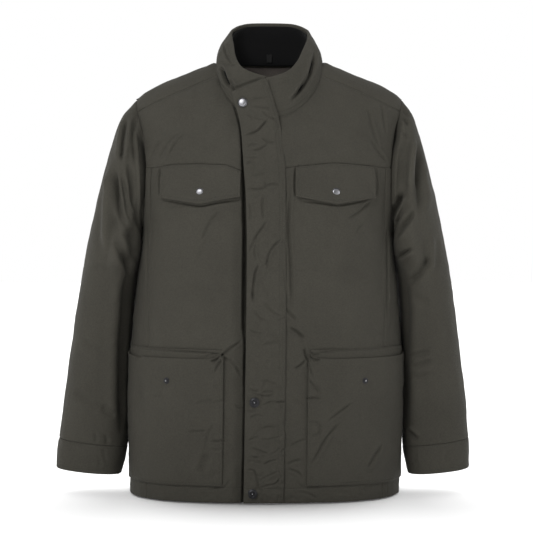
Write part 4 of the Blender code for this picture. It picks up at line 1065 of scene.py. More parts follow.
class Shell:
    """A fine, softly uneven grid over a piece's outer surface, with what its edges and seams need.

    Its grid has rows from the bottom up and columns across. Each edge has its finish, fold or seam, and how
    far from it its stitched lines lie, and one that isn't named is a plain fold. The marks are distances from
    the edges at which a line of the grid has to lie.
    """

    def __init__(self, name, grid, closed=False, step_up=None):
        self.name = name
        self.closed = closed
        step, self.thickness, self.edges, waves = CLOTHS[name.removesuffix("_l").removesuffix("_r")]
        marks = {side: [*EDGE_MARKS, *(line + offset for line in self.edge(side)[1] for offset in GROOVE_MARKS)]
                 for side in ("bottom", "top", "left", "right")}
        self.up, rows, self.height = spread(grid, step_up or step, marks["bottom"], marks["top"])
        turned = np.swapaxes(grid, 0, 1)
        self.across, columns, self.width = spread(turned, step, marks["left"], marks["right"], closed)
        fine = resample(grid, rows)
        fine = np.swapaxes(resample(np.swapaxes(fine, 0, 1), columns, closed), 0, 1)
        self.base = fine
        self.normals = grid_normals(fine, closed)
        inside = fine.mean(axis=1, keepdims=True) if closed else INSIDE
        if np.einsum("ijk,ijk->ij", self.normals, fine - inside).mean() < 0:
            self.normals = -self.normals
        self.relief = np.zeros(fine.shape[:2])
        self.folds = np.zeros(fine.shape[:2])
        self.distance = {
            "bottom": np.broadcast_to(self.up[:, None], fine.shape[:2]),
            "top": np.broadcast_to(self.height - self.up[:, None], fine.shape[:2]),
            "left": np.broadcast_to(self.across[None], fine.shape[:2]),
            "right": np.broadcast_to(self.width - self.across[None], fine.shape[:2]),
        }
        self.add_waves(*waves)

    def edge(self, side):
        """An edge's finish, and how far from it its stitched lines lie."""
        return self.edges.get(side, FOLD)

    def sides(self):
        """The edges that the piece has."""
        return ("bottom", "top") if self.closed else ("bottom", "top", "left", "right")

    def match_top(self, normals, reach):
        """Turns the top edge's normals to given ones, so that it meets its neighbour, and blends them in."""
        turned = grid_places(normals, self)
        self.normals = unit(mix(self.normals, turned[None], bell(self.distance["top"], reach)[..., None]))

    def add_waves(self, broad, middle, fine, crumple=0.0):
        """Adds random soft unevenness and, here and there, short creases, in millimetres."""
        lines = bell(field(self.base, CREASE_WAVES), CREASE_LINE)
        soft = field(self.base, BROAD_WAVES)
        self.relief += MM * (broad * soft + middle * field(self.base, MIDDLE_WAVES)
                             + fine * field(self.base, FINE_WAVES)
                             - crumple * lines * ramp(soft, *CREASE_PATCHES))

    def tuck_in(self):
        """Turns the panel in below the storm flap."""
        u, v = picture(self.base)
        level, place, depth = np.array(TURN_IN).T
        past = u - np.interp(v, level, place)
        lead = ease((past + TURN_IN_LEAD) / TURN_IN_LEAD) * ramp(v, *TURN_IN_ROLL_ROWS)
        self.relief -= MM * np.interp(v, level, depth) * ease(past / TURN_IN_SPREAD)
        self.relief -= TURN_IN_ROLL * lead

    def add_strokes(self, strokes, share=1.0, from_behind=False, lower=0.0, middle=None, slit=False):
        """Presses in strokes, some points lower, where the cloth faces the camera, or one behind.

        With a middle (y), they also fade by how near the cloth is to it, and a slit's fade by nothing else.
        """
        u, v = picture(self.base, from_behind)
        behind = 1.0 if from_behind else -1.0
        facing = behind * self.normals[..., 1]
        if middle is None:
            weight = ramp(facing, *FACING)
        else:
            weight = ramp(behind * (self.base[..., 1] - middle), *BEYOND_MIDDLE)
            if not slit:
                weight *= ramp(facing, *SLEEVE_FACING)
        pressed = strokes_relief(u, v - lower, strokes)
        self.relief += share * weight * pressed
        # The folds also paint shade into the cloth's colour and light onto its ridges; a slit gets more painted
        # shade.
        self.folds += share * weight * pressed * (SLIT_SHADE if slit else 1.0)

    def finish_edges(self, pucker=PUCKER):
        """Dips the cloth at seams, presses in the stitched lines and puckers the cloth beside them."""
        for side in self.sides():
            finish, stitched = self.edge(side)
            distance = self.distance[side]
            if finish == "seam":
                self.relief -= SEAM_DIP * bell(distance, SEAM_SPREAD)
            for line in stitched:
                self.relief -= GROOVE_DEPTH * bell(distance - line, GROOVE_WIDTH)
            if stitched or finish == "seam":
                near = bell(distance, PUCKER_REACH + max(stitched, default=0.0))
                self.relief += MM * pucker * near * field(self.base, PUCKER_WAVES)

    def surfaces(self):
        """Outer and inner surface, which meet at the edges in a round-off."""
        drop = np.zeros(self.base.shape[:2])
        rise = np.zeros(self.base.shape[:2])
        for side in self.sides():
            share = SEAM_SHARE if self.edge(side)[0] == "seam" else 0.5
            reach = np.clip(1 - self.distance[side] / ROUND_OFF, 0.0, 1.0)
            rounded = 1 - np.sqrt(np.clip(1 - reach * reach, 0.0, 1.0))
            drop = np.maximum(drop, rounded * share)
            rise = np.maximum(rise, rounded * (1 - share))
        corner = np.minimum(drop + rise, 1.0)
        rise = np.where(corner >= 1.0, 1.0 - drop, rise)
        outer = self.base + self.normals * (self.relief - drop * self.thickness)[..., None]
        low = lowest_near(self.relief, self.closed)
        inner = self.base + self.normals * (low - (1 - rise) * self.thickness)[..., None]
        return outer, inner

    def mesh(self):
        """The closed shell. Outer and inner surface share their edge points."""
        outer, inner = self.surfaces()
        rows, columns = outer.shape[:2]
        count = rows * columns
        index = np.arange(count).reshape(rows, columns)
        under = index + count
        under[0], under[-1] = index[0], index[-1]
        if not self.closed:
            under[:, 0], under[:, -1] = index[:, 0], index[:, -1]
        across = np.broadcast_to(self.across[None], (rows, columns))
        up = np.broadcast_to(self.up[:, None], (rows, columns))
        if self.closed:
            index = np.concatenate([index, index[:, :1]], axis=1)
            under = np.concatenate([under, under[:, :1]], axis=1)
        corners = [index[:-1, :-1], index[:-1, 1:], index[1:, 1:], index[1:, :-1]]
        faces = [np.stack(corners, axis=-1).reshape(-1, 4)]
        faces += [group[:, ::-1] for group in thinned(under, self.closed)]
        points = np.concatenate([outer.reshape(-1, 3), inner.reshape(-1, 3)])
        flat = np.stack([across, up], axis=-1).reshape(-1, 2)
        uv = np.concatenate([flat, flat])
        used = np.unique(np.concatenate([group.ravel() for group in faces]))
        new = np.full(len(points), -1)
        new[used] = np.arange(len(used))
        # Painted shade and painted light: folds are painted darker and ridges lighter by their depth.
        wear = np.where(self.folds < 0, self.folds * FOLD_SHADE, self.folds * RIDGE_PAINTED_LIGHT)
        wear = np.clip(wear, -FOLD_SHADE_MOST, RIDGE_PAINTED_LIGHT_MOST).ravel()
        wear = np.concatenate([wear, wear])
        return mesh_from(self.name, points[used], [new[group] for group in faces], uv[used], wear[used])

    def stitch_paths(self):
        """Points and normals along each stitched line."""
        outer, _ = self.surfaces()
        normals = grid_normals(outer, self.closed)
        if np.einsum("ijk,ijk->ij", normals, self.normals).mean() < 0:
            normals = -normals
        paths = []
        for side in self.sides():
            for line in self.edge(side)[1]:
                along_rows = side in ("bottom", "top")
                places = self.distance[side][:, 0] if along_rows else self.distance[side][0]
                at = int(np.argmin(np.abs(places - line)))
                points = outer[at] if along_rows else outer[:, at]
                facing = normals[at] if along_rows else normals[:, at]
                if self.closed:
                    points = np.concatenate([points, points[:1]])
                    facing = np.concatenate([facing, facing[:1]])
                paths.append((points, facing))
        return paths


def grid_places(values, shell):
    """Values at a ring's coarse points, brought to the columns of a shell's fine grid."""
    places = np.interp(shell.across, np.linspace(0.0, shell.width, len(values) + 1), np.arange(len(values) + 1))
    return resample(values, places, closed=True)


def stitching(name, paths):
    """Row after row of short stitches that lie in the cloth along paths."""
    points = []
    faces = []
    for path, normals in paths:
        lengths = np.concatenate([[0.0], np.cumsum(np.linalg.norm(np.diff(path, axis=0), axis=1))])
        if lengths[-1] < 2 * STITCH_ENDS + STITCH_PITCH:
            continue
        places = np.arange(STITCH_ENDS, lengths[-1] - STITCH_ENDS, STITCH_PITCH)

        def at(values, spots):
            return np.stack([np.interp(spots, lengths, values[:, k]) for k in range(3)], axis=-1)

        start, end = at(path, places), at(path, np.minimum(places + STITCH_LENGTH, lengths[-1]))
        normal = unit(at(normals, places + STITCH_LENGTH / 2))
        way = unit(end - start)
        side = np.cross(way, normal)
        middle = (start + end) / 2 + normal * STITCH_HALF_WIDTH * STITCH_LIFT
        ring = [side, normal * STITCH_FLATNESS, -side, -normal * STITCH_FLATNESS]
        base = sum(len(block) for block in points)
        block = [start - normal * STITCH_HALF_WIDTH * STITCH_SINK]
        for share in (-STITCH_SHOULDER, STITCH_SHOULDER):
            for corner in ring:
                block.append(middle + way * STITCH_LENGTH * share + corner * STITCH_HALF_WIDTH)
        block.append(end - normal * STITCH_HALF_WIDTH * STITCH_SINK)
        points.append(np.stack(block, axis=1).reshape(-1, 3))
        shape = []
        for k in range(4):
            after = (k + 1) % 4
            shape += [(0, 1 + k, 1 + after), (1 + k, 5 + k, 5 + after), (1 + k, 5 + after, 1 + after),
                      (5 + k, 9, 5 + after)]
        offsets = base + 10 * np.arange(len(places))[:, None, None]
        faces.append((np.array(shape)[None] + offsets).reshape(-1, 3))
    if not points:
        return None
    mesh = mesh_from(name, np.concatenate(points), [np.concatenate(faces)])
    return new_piece(name, mesh, THREAD)


def declare(shell):
    """Works out how wide each row of a piece's grid is when laid flat, and uses the widths for nothing."""
    across = np.linalg.norm(np.diff(shell.base, axis=1), axis=-1)
    open_widths = across.sum(axis=1)
    widths = open_widths
    if shell.closed:
        widths = widths + np.linalg.norm(shell.base[:, -1] - shell.base[:, 0], axis=-1)


def finish_shell(shell, slot="shell_cloth", held="stretched", rests_on=(), padded=None, look=None):
    piece = new_piece(shell.name + "_cloth", shell.mesh(), look or LOOKS[slot], [shell.name])
    thread = stitching(shell.name + "_stitching", shell.stitch_paths())
    if padded is None:
        declare(shell)


def add_cloth(name, grid, strokes=FRONT_STROKES, gain=CREASE_GAIN, from_behind=False, shaped=None, pucker=PUCKER,
              **how):
    """Sheet of shell cloth over a grid, with its creases, shaping and finished edges."""
    shell = Shell(name, grid)
    shell.add_strokes(strokes, gain, from_behind)
    if shaped:
        shaped(shell)
    shell.finish_edges(pucker)
    finish_shell(shell, **how)


# ---- the body's panels ----

def panel_grid(turns, levels, side, out=0.0):
    """Grid over the body. Side -1 gives the wearer's right. The chest seam hangs in a slight arch."""
    x, ahead = section_point(turns, levels)[..., 0], np.cos(np.radians(turns)) > 0
    rise = np.interp(x, *SEAM_ARCH[side]) * bell(levels - CHEST_SEAM, SEAM_ARCH_SPREAD)
    return lean(body(side * turns, levels + np.where(ahead, rise, 0.0), out))


def low_levels():
    """Levels of the rows below the underarm, closer towards it."""
    rise = np.linspace(0.0, 1.0, BODY_ROWS, endpoint=False)
    return mix(HEM, UNDERARM, rise * (2 - rise))


def body_levels():
    """Levels of the rows of the fronts and sides: up to the underarm, then at the armhole's points."""
    _, levels = armhole_place(np.linspace(0.0, CHEST_ANGLE, ARMHOLE_SIDE_STEPS + 1))
    return np.concatenate([low_levels(), levels])


def outer_turn(z):
    """Where a side panel ends: the side seam, or the armhole above the underarm."""
    return np.where(z <= UNDERARM, 90.0, turn_at(along(ARMHOLE, "x", z), z))


def add_yokes():
    """Upper fronts."""
    corner = front_view(armhole_place(CHEST_ANGLE))
    columns = NECK_FRONT_STEPS + SHOULDER_STEPS
    chest = stacked(np.linspace(0.0, corner[0], columns + 1), CHEST_SEAM)
    neck = front_view(neck_place(np.linspace(0.0, SHOULDER_SEAM_NECK_ANGLE, NECK_FRONT_STEPS, endpoint=False)))
    top = np.concatenate([neck, shoulder_seam(np.linspace(0.0, 1.0, SHOULDER_STEPS + 1))])
    centre = stacked(0.0, np.linspace(CHEST_SEAM, -NECK_DROP, ARMHOLE_YOKE_STEPS + 1))
    armhole = front_view(armhole_place(np.linspace(CHEST_ANGLE, SHOULDER_SEAM_ANGLE, ARMHOLE_YOKE_STEPS + 1)))
    flat = fill(chest, top, centre, armhole)
    for side, letter in SIDES:
        grid = panel_grid(turn_at(flat[..., 0], flat[..., 1]), flat[..., 1], side)
        add_cloth(f"front_yoke_{letter}", grid, shaped=Shell.tuck_in if side < 0 else None)


def add_fronts():
    """Fronts and side panels."""
    levels = body_levels()
    widths = np.linspace(0.0, SIDE_FRONT_SEAM, FRONT_COLUMNS + 1)
    turns = turn_at(widths[None], levels[:, None])
    part = np.linspace(0.0, 1.0, SIDE_COLUMNS + 1)[None]
    side_turns = mix(turn_at(SIDE_FRONT_SEAM, levels)[:, None], outer_turn(levels)[:, None], part)
    for side, letter in SIDES:
        for name, grid_turns in ((f"front_{letter}", turns), (f"side_{letter}", side_turns)):
            grid = panel_grid(grid_turns, levels[:, None] + 0 * grid_turns, side)
            add_cloth(name, grid, shaped=Shell.tuck_in if name == "front_r" else None)


def back_grid():
    """Turns and levels of the back's grid: up between the side seams and armholes, then over the shoulders."""
    columns = NECK_BACK_STEPS + 2 * SHOULDER_STEPS
    part = np.linspace(0.0, 1.0, columns + 1)
    turns, levels = armhole_place(BACK_ANGLES[BACK_UPPER_STEPS:][::-1])
    turns = np.concatenate([np.full(BODY_ROWS, 90.0), [90.0], turns[1:]])
    levels = np.concatenate([low_levels(), levels])
    grid_turns = mix(turns[:, None], 360.0 - turns[:, None], part[None])
    grid_levels = np.broadcast_to(levels[:, None], grid_turns.shape)

    def plane(place):
        points = section_point(*place)
        rise = np.degrees(np.arctan2(points[..., 2] - BACK_SPLIT, points[..., 1]))
        return stacked(points[..., 0], rise)

    bottom = stacked(section_point(grid_turns[-1], BACK_SPLIT)[..., 0], 0.0)
    seam = shoulder_seam(np.linspace(1.0, 0.0, SHOULDER_STEPS + 1))
    half_seam = plane((turn_at(seam[:, 0], seam[:, 1]), seam[:, 1]))
    half_neck = plane(neck_place(np.linspace(SHOULDER_SEAM_NECK_ANGLE, 180.0, NECK_BACK_STEPS // 2 + 1)))
    half = np.concatenate([half_seam[:-1], half_neck])
    top = np.concatenate([half, (half * (-1, 1))[-2::-1]])
    left = plane(armhole_place(np.linspace(BACK_ANGLES[BACK_UPPER_STEPS], SHOULDER_SEAM_ANGLE,
                                           BACK_UPPER_STEPS + 1)))
    upper = fill(bottom, top, left, left * (-1, 1))[1:]
    upper_turns, upper_levels = over_shoulder(upper[..., 0], upper[..., 1])
    return np.concatenate([grid_turns, upper_turns]), np.concatenate([grid_levels, upper_levels])


def add_back(turns, levels):
    """Back panel."""
    add_cloth("back", panel_grid(turns, levels, 1), BACK_STROKES, BACK_GAIN, from_behind=True)


# ---- sleeves and cuffs ----

def sleeve_rings(table, share):
    """Rings of a sleeve, from its innermost points (0 degrees) round the front to its outermost (180)."""
    rings = []
    sine, cosine = np.sin(np.radians(ARMHOLE_ANGLES)), np.cos(np.radians(ARMHOLE_ANGLES))
    for ring in table:
        inner = np.array((ring.inner_x, ring.middle_y, ring.inner_z))
        outer = np.array((ring.outer_x + share * ring.fuller, ring.middle_y, ring.outer_z))
        half = (outer - inner) / 2
        across = unit(half) * (np.linalg.norm(half) * cosine * (1 + SLEEVE_SQUARENESS * sine * sine))[:, None]
        ahead = np.array((0.0, -1.0, 0.0)) * (ring.depth * sine)[:, None]
        rings.append((inner + outer) / 2 - across + ahead)
    return np.array(rings)


def sleeve_fit(shell, side):
    """How the sleeve tucks in behind the front's edge at the armhole, and swells towards the body under it."""
    level = shell.base[..., 2]
    front = ease((TUCK_FRONT - shell.base[..., 1]) / TUCK_FADE)
    window = ease((level - TUCK_LOW) / TUCK_FADE) * ease((TUCK_HIGH - level) / TUCK_FADE)
    tucked = -TUCK_DEPTH * front * window * bell(shell.distance["top"], TUCK_REACH)
    inward = -SWELL_WAY * side * shell.normals[..., 0] - SWELL_WAY * shell.normals[..., 1]
    return tucked + SWELL * ramp(inward, *SWELL_FACING) * bell(level - SWELL_LEVEL, SWELL_SPREAD)


def add_sleeves():
    """Sleeves and cuffs, with their folds."""
    seam = armhole_place(ARMHOLE_ANGLES)
    for side, letter, share, strokes, others, slits, cuff_strokes in (
            (1, "l", 0.0, SLEEVE_L_STROKES, SLEEVE_R_STROKES, SLITS_L, CUFF_L_STROKES),
            (-1, "r", 1.0, SLEEVE_R_STROKES, SLEEVE_L_STROKES, SLITS_R, CUFF_R_STROKES)):
        rings = np.concatenate([section_point(*seam)[None], sleeve_rings(SLEEVE, share)])[::-1]
        for name, grid, own, hidden in (
                ("sleeve", rings, strokes, others),
                ("cuff", sleeve_rings(CUFF, share)[::-1], cuff_strokes, cuff_strokes)):
            shell = Shell(f"{name}_{letter}", lean(grid * (side, 1.0, 1.0)), closed=True)
            if name == "sleeve":
                shell.match_top(section_normal(*seam) * (side, 1.0, 1.0), SLEEVE_TOP_REACH)
            shell.add_strokes(own, SLEEVE_GAIN, middle=SLEEVE_MIDDLE)
            shell.add_strokes(hidden, HIDDEN_GAIN, from_behind=True, lower=HIDDEN_LOWER, middle=SLEEVE_MIDDLE)
            if name == "sleeve":
                shell.add_strokes(slits, SLIT_GAIN, middle=SLEEVE_MIDDLE, slit=True)
                shell.relief += sleeve_fit(shell, side)
            shell.finish_edges()
            finish_shell(shell)


# ---- collar ----

def neck_point(angle):
    """Points on the neckline round to its centre front again (360)."""
    around = np.asarray(angle) % 360.0
    turn, z = neck_place(np.minimum(around, 360.0 - around))
    return section_point(turn, z) * np.where(around[..., None] > 180.0, (-1.0, 1.0, 1.0), (1.0, 1.0, 1.0))


def collar_surface(angle, height):
    """Points on the collar's outer surface at a part of its height."""
    base = neck_point(angle)
    around = angle % 360.0
    top = stacked(*[along(COLLAR_TOP, axis, around) for axis in ("x", "y", "z")])
    outward = unit(base * (1.0, 1.0, 0.0))
    bulge = (along(COLLAR_TOP, "bulge", around) * np.sin(math.pi * height))[..., None]
    return mix(base, top, np.asarray(height)[..., None]) + outward * bulge


def collar_point(angle, height, inset):
    """Points at a distance inside the collar's outer surface."""
    around = collar_surface(angle + 1.0, height) - collar_surface(angle - 1.0, height)
    upward = collar_surface(angle, height + 0.02) - collar_surface(angle, height - 0.02)
    return collar_surface(angle, height) - unit(np.cross(around, upward)) * inset


def collar_grid(low, high, depth, start=COLLAR_OPENING - 360.0, end=COLLAR_OPENING, columns=COLLAR_COLUMNS):
    """Grid on the collar between two heights and two angles."""
    angles, heights = np.meshgrid(np.linspace(start, end, columns + 1), np.linspace(low, high, COLLAR_ROWS + 1))
    return lean(collar_point(angles, heights, depth))


def with_tail(grid, length):
    """The same grid with another row straight below its first, tucked in behind what it is sewn to."""
    return np.concatenate([grid[:1] - (0.0, 0.0, length), grid])


def add_collar():
    """Padded outer band and the rib knit inside it."""
    shell = Shell("collar", with_tail(collar_grid(0.0, 1.0, 0.0), COLLAR_TAIL))
    shell.relief -= SEAM_DIP * bell(shell.distance["bottom"] - COLLAR_TAIL, SEAM_SPREAD)
    shell.add_strokes(COLLAR_STROKES)
    shell.finish_edges()
    finish_shell(shell, padded=COLLAR_FILL)

    grid = with_tail(collar_grid(KNIT_BOTTOM, KNIT_TOP, COLLAR_WALL + KNIT_GAP), KNIT_TAIL)
    shell = Shell("collar_knit", grid, step_up=KNIT_STEP_UP)
    ribs = RIB_DEPTH * np.cos(2 * math.pi * shell.across / RIB_PITCH)
    shell.relief += ribs[None]
    finish_shell(shell, slot="rib_knit", rests_on=["collar_cloth"])


def add_neck_lining(turns, levels):
    """Strip of lining against the inside of the back, below the neck seam."""
    first = SHOULDER_STEPS + LINING_INSET
    rows = slice(-LINING_ROWS, None)
    grid = panel_grid(turns[rows, first:-first], levels[rows, first:-first], 1, -WALL - LAYER_GAP)
    grid = np.concatenate([grid, grid[-1:] + (0.0, 0.0, LINING_TAIL)])
    finish_shell(Shell("neck_lining", grid), slot="lining_cloth", rests_on=["back_cloth"])


def add_neck_loop():
    """Small hanging loop, folded flat, inside the centre back."""
    depth = COLLAR_WALL + KNIT_GAP + KNIT_WALL + LAYER_GAP
    shell = Shell("neck_loop", collar_grid(LOOP_BOTTOM, LOOP_TOP, depth, 180.0 - LOOP_HALF_TURN,
                                           180.0 + LOOP_HALF_TURN, LOOP_COLUMNS))
    middle = shell.width / 2
    shell.relief += LOOP_CROWN * np.cos((shell.across - middle) / middle * math.pi)[None]
    finish_shell(shell, slot="rib_knit", held="folded", rests_on=["collar_knit_cloth"], look=TAPE)


# ---- storm flap, pockets and their flaps ----

def flap_standoff(part):
    """How far the storm flap's inner face stands off, a part of the way from its right edge to its left."""
    return mix(STORM_FLAP_FREE, STORM_FLAP_STITCHED, part)


def flap_surface(x, z):
    """Depth (y) of the surface under the storm flap: the body's and, above it, the collar's front."""
    collar = -COLLAR_FRONT_DEPTH + COLLAR_FRONT_SLOPE * (z - COLLAR_FRONT_LEVEL) + COLLAR_FRONT_CURVE * x * x
    low = np.minimum(z, BLEND_ABOVE)
    front = section_point(turn_at(x, low), low)[..., 1]
    return mix(front, collar, ramp(z, BLEND_BELOW, BLEND_ABOVE - BLEND_BELOW))


def sink_stitched_side(shell):
    """Presses the storm flap down along its stitched side, above the chest."""
    sunk = bell(shell.distance["right"], FLAP_SINK_REACH) * ramp(shell.base[..., 2], *FLAP_SINK_LEVELS)
    shell.relief -= FLAP_SINK * sunk


def add_storm_flap():
    """Flap over the front closure."""
    level = np.linspace(STORM_FLAP[-1].z, STORM_FLAP[0].z, STORM_FLAP_ROWS + 1)[:, None]
    part = np.linspace(0.0, 1.0, STORM_FLAP_COLUMNS + 1)[None]
    z = level + STORM_FLAP_TOP_SLANT * (part - 0.5) * ramp(level, BLEND_BELOW, STORM_FLAP[0].z - BLEND_BELOW)
    x = mix(along(STORM_FLAP, "right_edge", level), along(STORM_FLAP, "left_edge", level), part)
    grid = lean(stacked(x, flap_surface(x, z) - flap_standoff(part) - WALL, z))
    add_cloth("storm_flap", grid, FLAP_STROKES, shaped=sink_stitched_side, pucker=STORM_FLAP_PUCKER,
              rests_on=["front_l_cloth", "front_r_cloth"])


def lift_edges(shell):
    """Lifts a flap off what it lies on, at its bottom and sides."""
    lift = bell(shell.distance["bottom"], FLAP_LIFT_BOTTOM)
    sides = bell(np.minimum(shell.distance["left"], shell.distance["right"]), FLAP_LIFT_SIDES)
    away = ease(shell.distance["top"] / FLAP_LIFT_TOP)
    shell.relief += FLAP_LIFT * np.maximum(lift, sides) * away


def add_chest_flaps():
    """Pointed flaps that hang from the chest seam."""
    x = np.linspace(CHEST_FLAP_INNER, CHEST_FLAP_OUTER, CHEST_FLAP_COLUMNS + 1)
    slope = np.clip(1 - np.abs(x - CHEST_FLAP_POINT_X) / (CHEST_FLAP_POINT_X - CHEST_FLAP_INNER), 0.0, 1.0)
    bottom = stacked(x, mix(CHEST_FLAP_CORNER, CHEST_FLAP_POINT, slope))
    top = stacked(x, CHEST_SEAM - CHEST_FLAP_GAP)
    part = np.linspace(0.0, 1.0, CHEST_FLAP_ROWS + 1)[:, None]
    flat = fill(bottom, top, mix(bottom[0], top[0], part), mix(bottom[-1], top[-1], part))
    for side, letter in SIDES:
        grid = panel_grid(turn_at(flat[..., 0], flat[..., 1]), flat[..., 1], side, LAYER_GAP + FLAP_WALL)
        add_cloth(f"chest_flap_{letter}", grid, (), shaped=lift_edges, held="hung",
                  rests_on=[f"front_{letter}_cloth"])


def add_pockets():
    """Patch pockets, each a little open at the top, where its flap is tucked in."""
    part = np.linspace(0.0, 1.0, POCKET_ROWS + 1)[:, None]
    across = np.linspace(0.0, 1.0, POCKET_COLUMNS + 1)[None]
    lift = LAYER_GAP + POCKET_LIFT * ease(part / POCKET_LIFT_FULL) + FLAP_WALL
    top = POCKET_TOP + POCKET_SLANT * across + POCKET_TOP_RISE * (2 * across - 1)**POCKET_TOP_POWER
    z = mix(POCKET_BOTTOM, top, part)
    turns = mix(turn_at(POCKET_INNER, z), POCKET_TURN, across)
    for side, letter in SIDES:
        add_cloth(f"pocket_{letter}", panel_grid(turns, z, side, lift + 0 * z),
                  rests_on=[f"front_{letter}_cloth", f"side_{letter}_cloth"])


def add_pocket_flaps():
    """Flaps folded into the lower pockets, so that only their top strip shows."""
    across = np.linspace(0.0, 1.0, POCKET_COLUMNS + 1)[None]
    part = np.linspace(0.0, 1.0, POCKET_FLAP_ROWS + 1)[:, None]
    z = mix(POCKET_FLAP_BOTTOM, POCKET_FLAP_TOP + POCKET_SLANT * across, part)
    turns = mix(turn_at(POCKET_INNER + POCKET_FLAP_INSET, z), POCKET_FLAP_TURN, across)
    for side, letter in SIDES:
        add_cloth(f"pocket_flap_{letter}", panel_grid(turns, z, side, LAYER_GAP + TUCKED_WALL + 0 * z),
                  POCKET_FLAP_STROKES, pucker=POCKET_FLAP_PUCKER, held="folded",
                  rests_on=[f"pocket_{letter}_cloth"])


# ---- snaps: profiles of (radius, height), base to top, and which of their bands are dark ----

CAP = [(0.0070, 0.0), (0.0082, 0.0001), (0.0084, 0.0006), (0.0083, 0.0012), (0.0079, 0.0016), (0.0074, 0.0014),
       (0.0071, 0.0011), (0.0068, 0.0012), (0.0063, 0.0017), (0.0052, 0.0021), (0.0036, 0.0024), (0.0018, 0.0026)]
CAP_DARK = range(4, 7)
RING = [(0.0070, 0.0), (0.0082, 0.0001), (0.0084, 0.0007), (0.0080, 0.0013), (0.0074, 0.0015), (0.0070, 0.0013),
        (0.0064, 0.0016), (0.0056, 0.0022), (0.0048, 0.0023), (0.0041, 0.0018), (0.0036, 0.0009), (0.0024, 0.0007),
        (0.0019, 0.0011), (0.0015, 0.0017), (0.0009, 0.0020), (0.0004, 0.0021)]
RING_DARK = range(14)
STUD = [(0.0050, 0.0), (0.0055, 0.0002), (0.0055, 0.0007), (0.0051, 0.0011), (0.0045, 0.0011), (0.0041, 0.0008),
        (0.0030, 0.0008), (0.0022, 0.0009), (0.0019, 0.0013), (0.0021, 0.0023), (0.0020, 0.0028),
        (0.0014, 0.0030), (0.0006, 0.0030)]
STUD_DARK = range(11)
TURNED_SIDES = 48
SHARP_ANGLE = 50
SLOPE_STEP = 0.004


def turned(name, profile, dark, spot, normal, node):
    """Turned metal piece from a profile, with the base and the bands named as dark in the darker metal."""
    sides = TURNED_SIDES
    angles = np.arange(sides) * 2 * math.pi / sides
    rings = [stacked(radius * np.cos(angles), radius * np.sin(angles), height) for radius, height in profile]
    foot, tip = ([[0.0, 0.0, height]] for height in (profile[0][1], profile[-1][1]))
    points = np.concatenate([foot, *rings, tip])
    faces = []
    looks = []
    last = len(points) - 1
    for k in range(sides):
        after = (k + 1) % sides
        faces.append((0, 1 + after, 1 + k))
        looks.append(1)
        for ring in range(len(profile) - 1):
            low = 1 + ring * sides
            faces.append((low + k, low + after, low + sides + after, low + sides + k))
            looks.append(1 if ring in dark else 0)
        faces.append((last, last - sides + k, last - sides + after))
        looks.append(0)
    placed = Matrix.Translation(spot) @ normal.to_track_quat("Z", "Y").to_matrix().to_4x4()
    mesh = bpy.data.meshes.new(name)
    mesh.from_pydata([placed @ Vector(point) for point in points], [], faces)
    mesh.polygons.foreach_set("material_index", looks)
    mesh.polygons.foreach_set("use_smooth", [True] * len(faces))
    mesh.set_sharp_from_angle(angle=math.radians(SHARP_ANGLE))
    new_piece(name, mesh, [METAL, DARK_METAL], [node])


def add_snaps():
    """Caps on the storm flap and chest flaps, and studs on the lower pockets."""
    step = SLOPE_STEP
    for name, (x, z) in STORM_SNAPS.items():
        across = Vector((2 * step, float(flap_surface(x + step, z) - flap_surface(x - step, z)), 0.0))
        upward = Vector((0.0, float(flap_surface(x, z + step) - flap_surface(x, z - step)), 2 * step))
        right, left = along(STORM_FLAP, "right_edge", z), along(STORM_FLAP, "left_edge", z)
        clear = flap_standoff((x - right) / (left - right)) + WALL + LAYER_GAP / 2
        spot = lean((x, float(flap_surface(x, z)) - clear, z))
        profile, dark = (CAP, CAP_DARK) if name == "top" else (RING, RING_DARK)
        turned(f"cap_storm_{name}", profile, dark, Vector(spot), across.cross(upward).normalized(),
               f"snap_storm_{name}")
    pocket_clear = LAYER_GAP + POCKET_LIFT + FLAP_WALL + LAYER_GAP / 2
    for side, letter in SIDES:
        for name, node, profile, dark, (x, z), out in (
                ("cap_chest", "snap_chest", CAP, CAP_DARK, CHEST_SNAP, FLAP_WALL + 1.5 * LAYER_GAP),
                ("stud", "stud_pocket", STUD, STUD_DARK, POCKET_STUD, pocket_clear)):
            turn = side * turn_at(x, z)
            turned(f"{name}_{letter}", profile, dark, Vector(lean(body(turn, z, out))),
                   Vector(section_normal(turn, z)), f"{node}_{letter}")


# ---- the set ----

def add_floor():
    """Pale floor just under the hem, lit so that only the jacket's trunk shades it, and a little aglow."""
    mesh = bpy.data.meshes.new("floor")
    level = HEM - FLOOR_GAP
    corners = [(x * FLOOR_HALF, y * FLOOR_HALF, level) for x, y in ((-1, -1), (1, -1), (1, 1), (-1, 1))]
    mesh.from_pydata(corners, [], [(0, 1, 2, 3)])
    floor = new_object("floor", mesh)
    look, tree, shader = new_look("floor_look")
    feed(tree, shader, {"Base Color": (0.88, 0.88, 0.88, 1.0), "Roughness": 1.0, "Specular IOR Level": 0.0,
                        "Emission Color": (1.0, 1.0, 1.0, 1.0), "Emission Strength": FLOOR_GLOW})
    mesh.materials.append(look)
    ground = bpy.data.collections.new("ground")
    ground.objects.link(floor)
    for side in (-1, 1):
        data = bpy.data.lights.new("ground_light", "SUN")
        data.angle = math.radians(GROUND_LIGHT_SPREAD)
        data.energy = GROUND_LIGHT
        light = new_object("ground_light", data)
        way = Vector((side * GROUND_LIGHT_SIDE, *GROUND_LIGHT_WAY))
        light.rotation_euler = way.to_track_quat("Z", "Y").to_euler()
        light.light_linking.receiver_collection = ground
        light.light_linking.blocker_collection = TRUNK


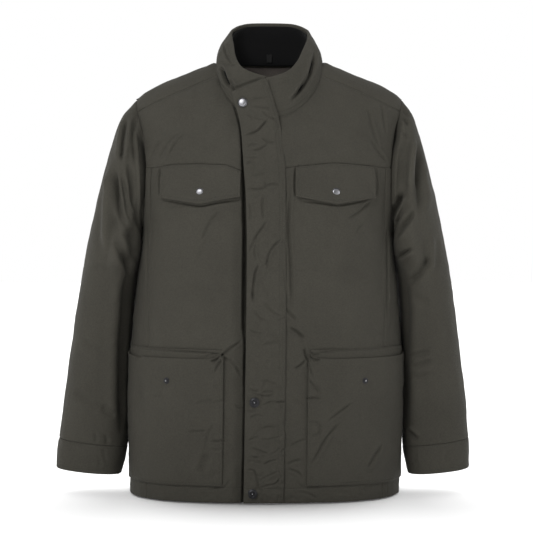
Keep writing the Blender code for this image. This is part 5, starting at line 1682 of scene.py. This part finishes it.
def add_surround():
    """Even white surround, dimmer in front and below than behind and above."""
    world = bpy.data.worlds.new("surround")
    bpy.context.scene.world = world
    world.use_nodes = True
    tree = world.node_tree
    way = add_node(tree, "TexCoord").outputs["Generated"]
    split = add_node(tree, "SeparateXYZ", {"Vector": way}).outputs
    height = add_node(tree, "Math", {0: split["Z"], 1: TOP_SHARE, 2: split["Y"]}, operation="MULTIPLY_ADD")
    grade = add_node(tree, "MapRange", {"Value": height.outputs[0], "From Min": SURROUND_LOW,
                                        "From Max": SURROUND_HIGH, "To Min": FRONT_SURROUND, "To Max": 1.0},
                     interpolation_type="SMOOTHSTEP")
    feed(tree, tree.nodes["Background"], {"Strength": grade.outputs["Result"], "Color": (1.0, 1.0, 1.0, 1.0)})


def add_light(name, spot, size, power):
    """Soft square light aimed at the jacket's middle."""
    data = bpy.data.lights.new(name, "AREA")
    data.shape = "SQUARE"
    data.size = size
    data.energy = power
    light = new_object(name, data)
    light.location = spot
    light.light_linking.receiver_collection = JACKET
    light.rotation_euler = (Vector(LIT_MIDDLE) - Vector(spot)).to_track_quat("-Z", "Y").to_euler()


def add_camera():
    """Level camera in front, about as far off as in the photograph."""
    data = bpy.data.cameras.new("camera")
    data.sensor_width = SENSOR_WIDTH
    data.sensor_fit = "AUTO"
    data.lens = SENSOR_WIDTH * CAMERA_DISTANCE / (PICTURE_WIDTH * POINT_SIZE)
    data.dof.use_dof = False
    data.clip_end = CAMERA_SEES
    camera = new_object("camera", data)
    middle = PICTURE_WIDTH / 2
    camera.location = ((middle - CAMERA_SIDE) * POINT_SIZE, -CAMERA_DISTANCE,
                       CAMERA_LEVEL + (CAMERA_ROW - middle) * POINT_SIZE)
    camera.rotation_euler = (math.radians(90.0), 0.0, 0.0)
    bpy.context.scene.camera = camera


add_camera()
add_floor()
add_surround()
for light_name, light_facts in LIGHTS.items():
    add_light(light_name, *light_facts)
bpy.context.scene.view_settings.view_transform = "Standard"

add_yokes()
add_fronts()
back_turns, back_heights = back_grid()
add_back(back_turns, back_heights)
add_sleeves()
add_collar()
add_neck_lining(back_turns, back_heights)
add_neck_loop()
add_storm_flap()
add_chest_flaps()
add_pockets()
add_pocket_flaps()
add_snaps()
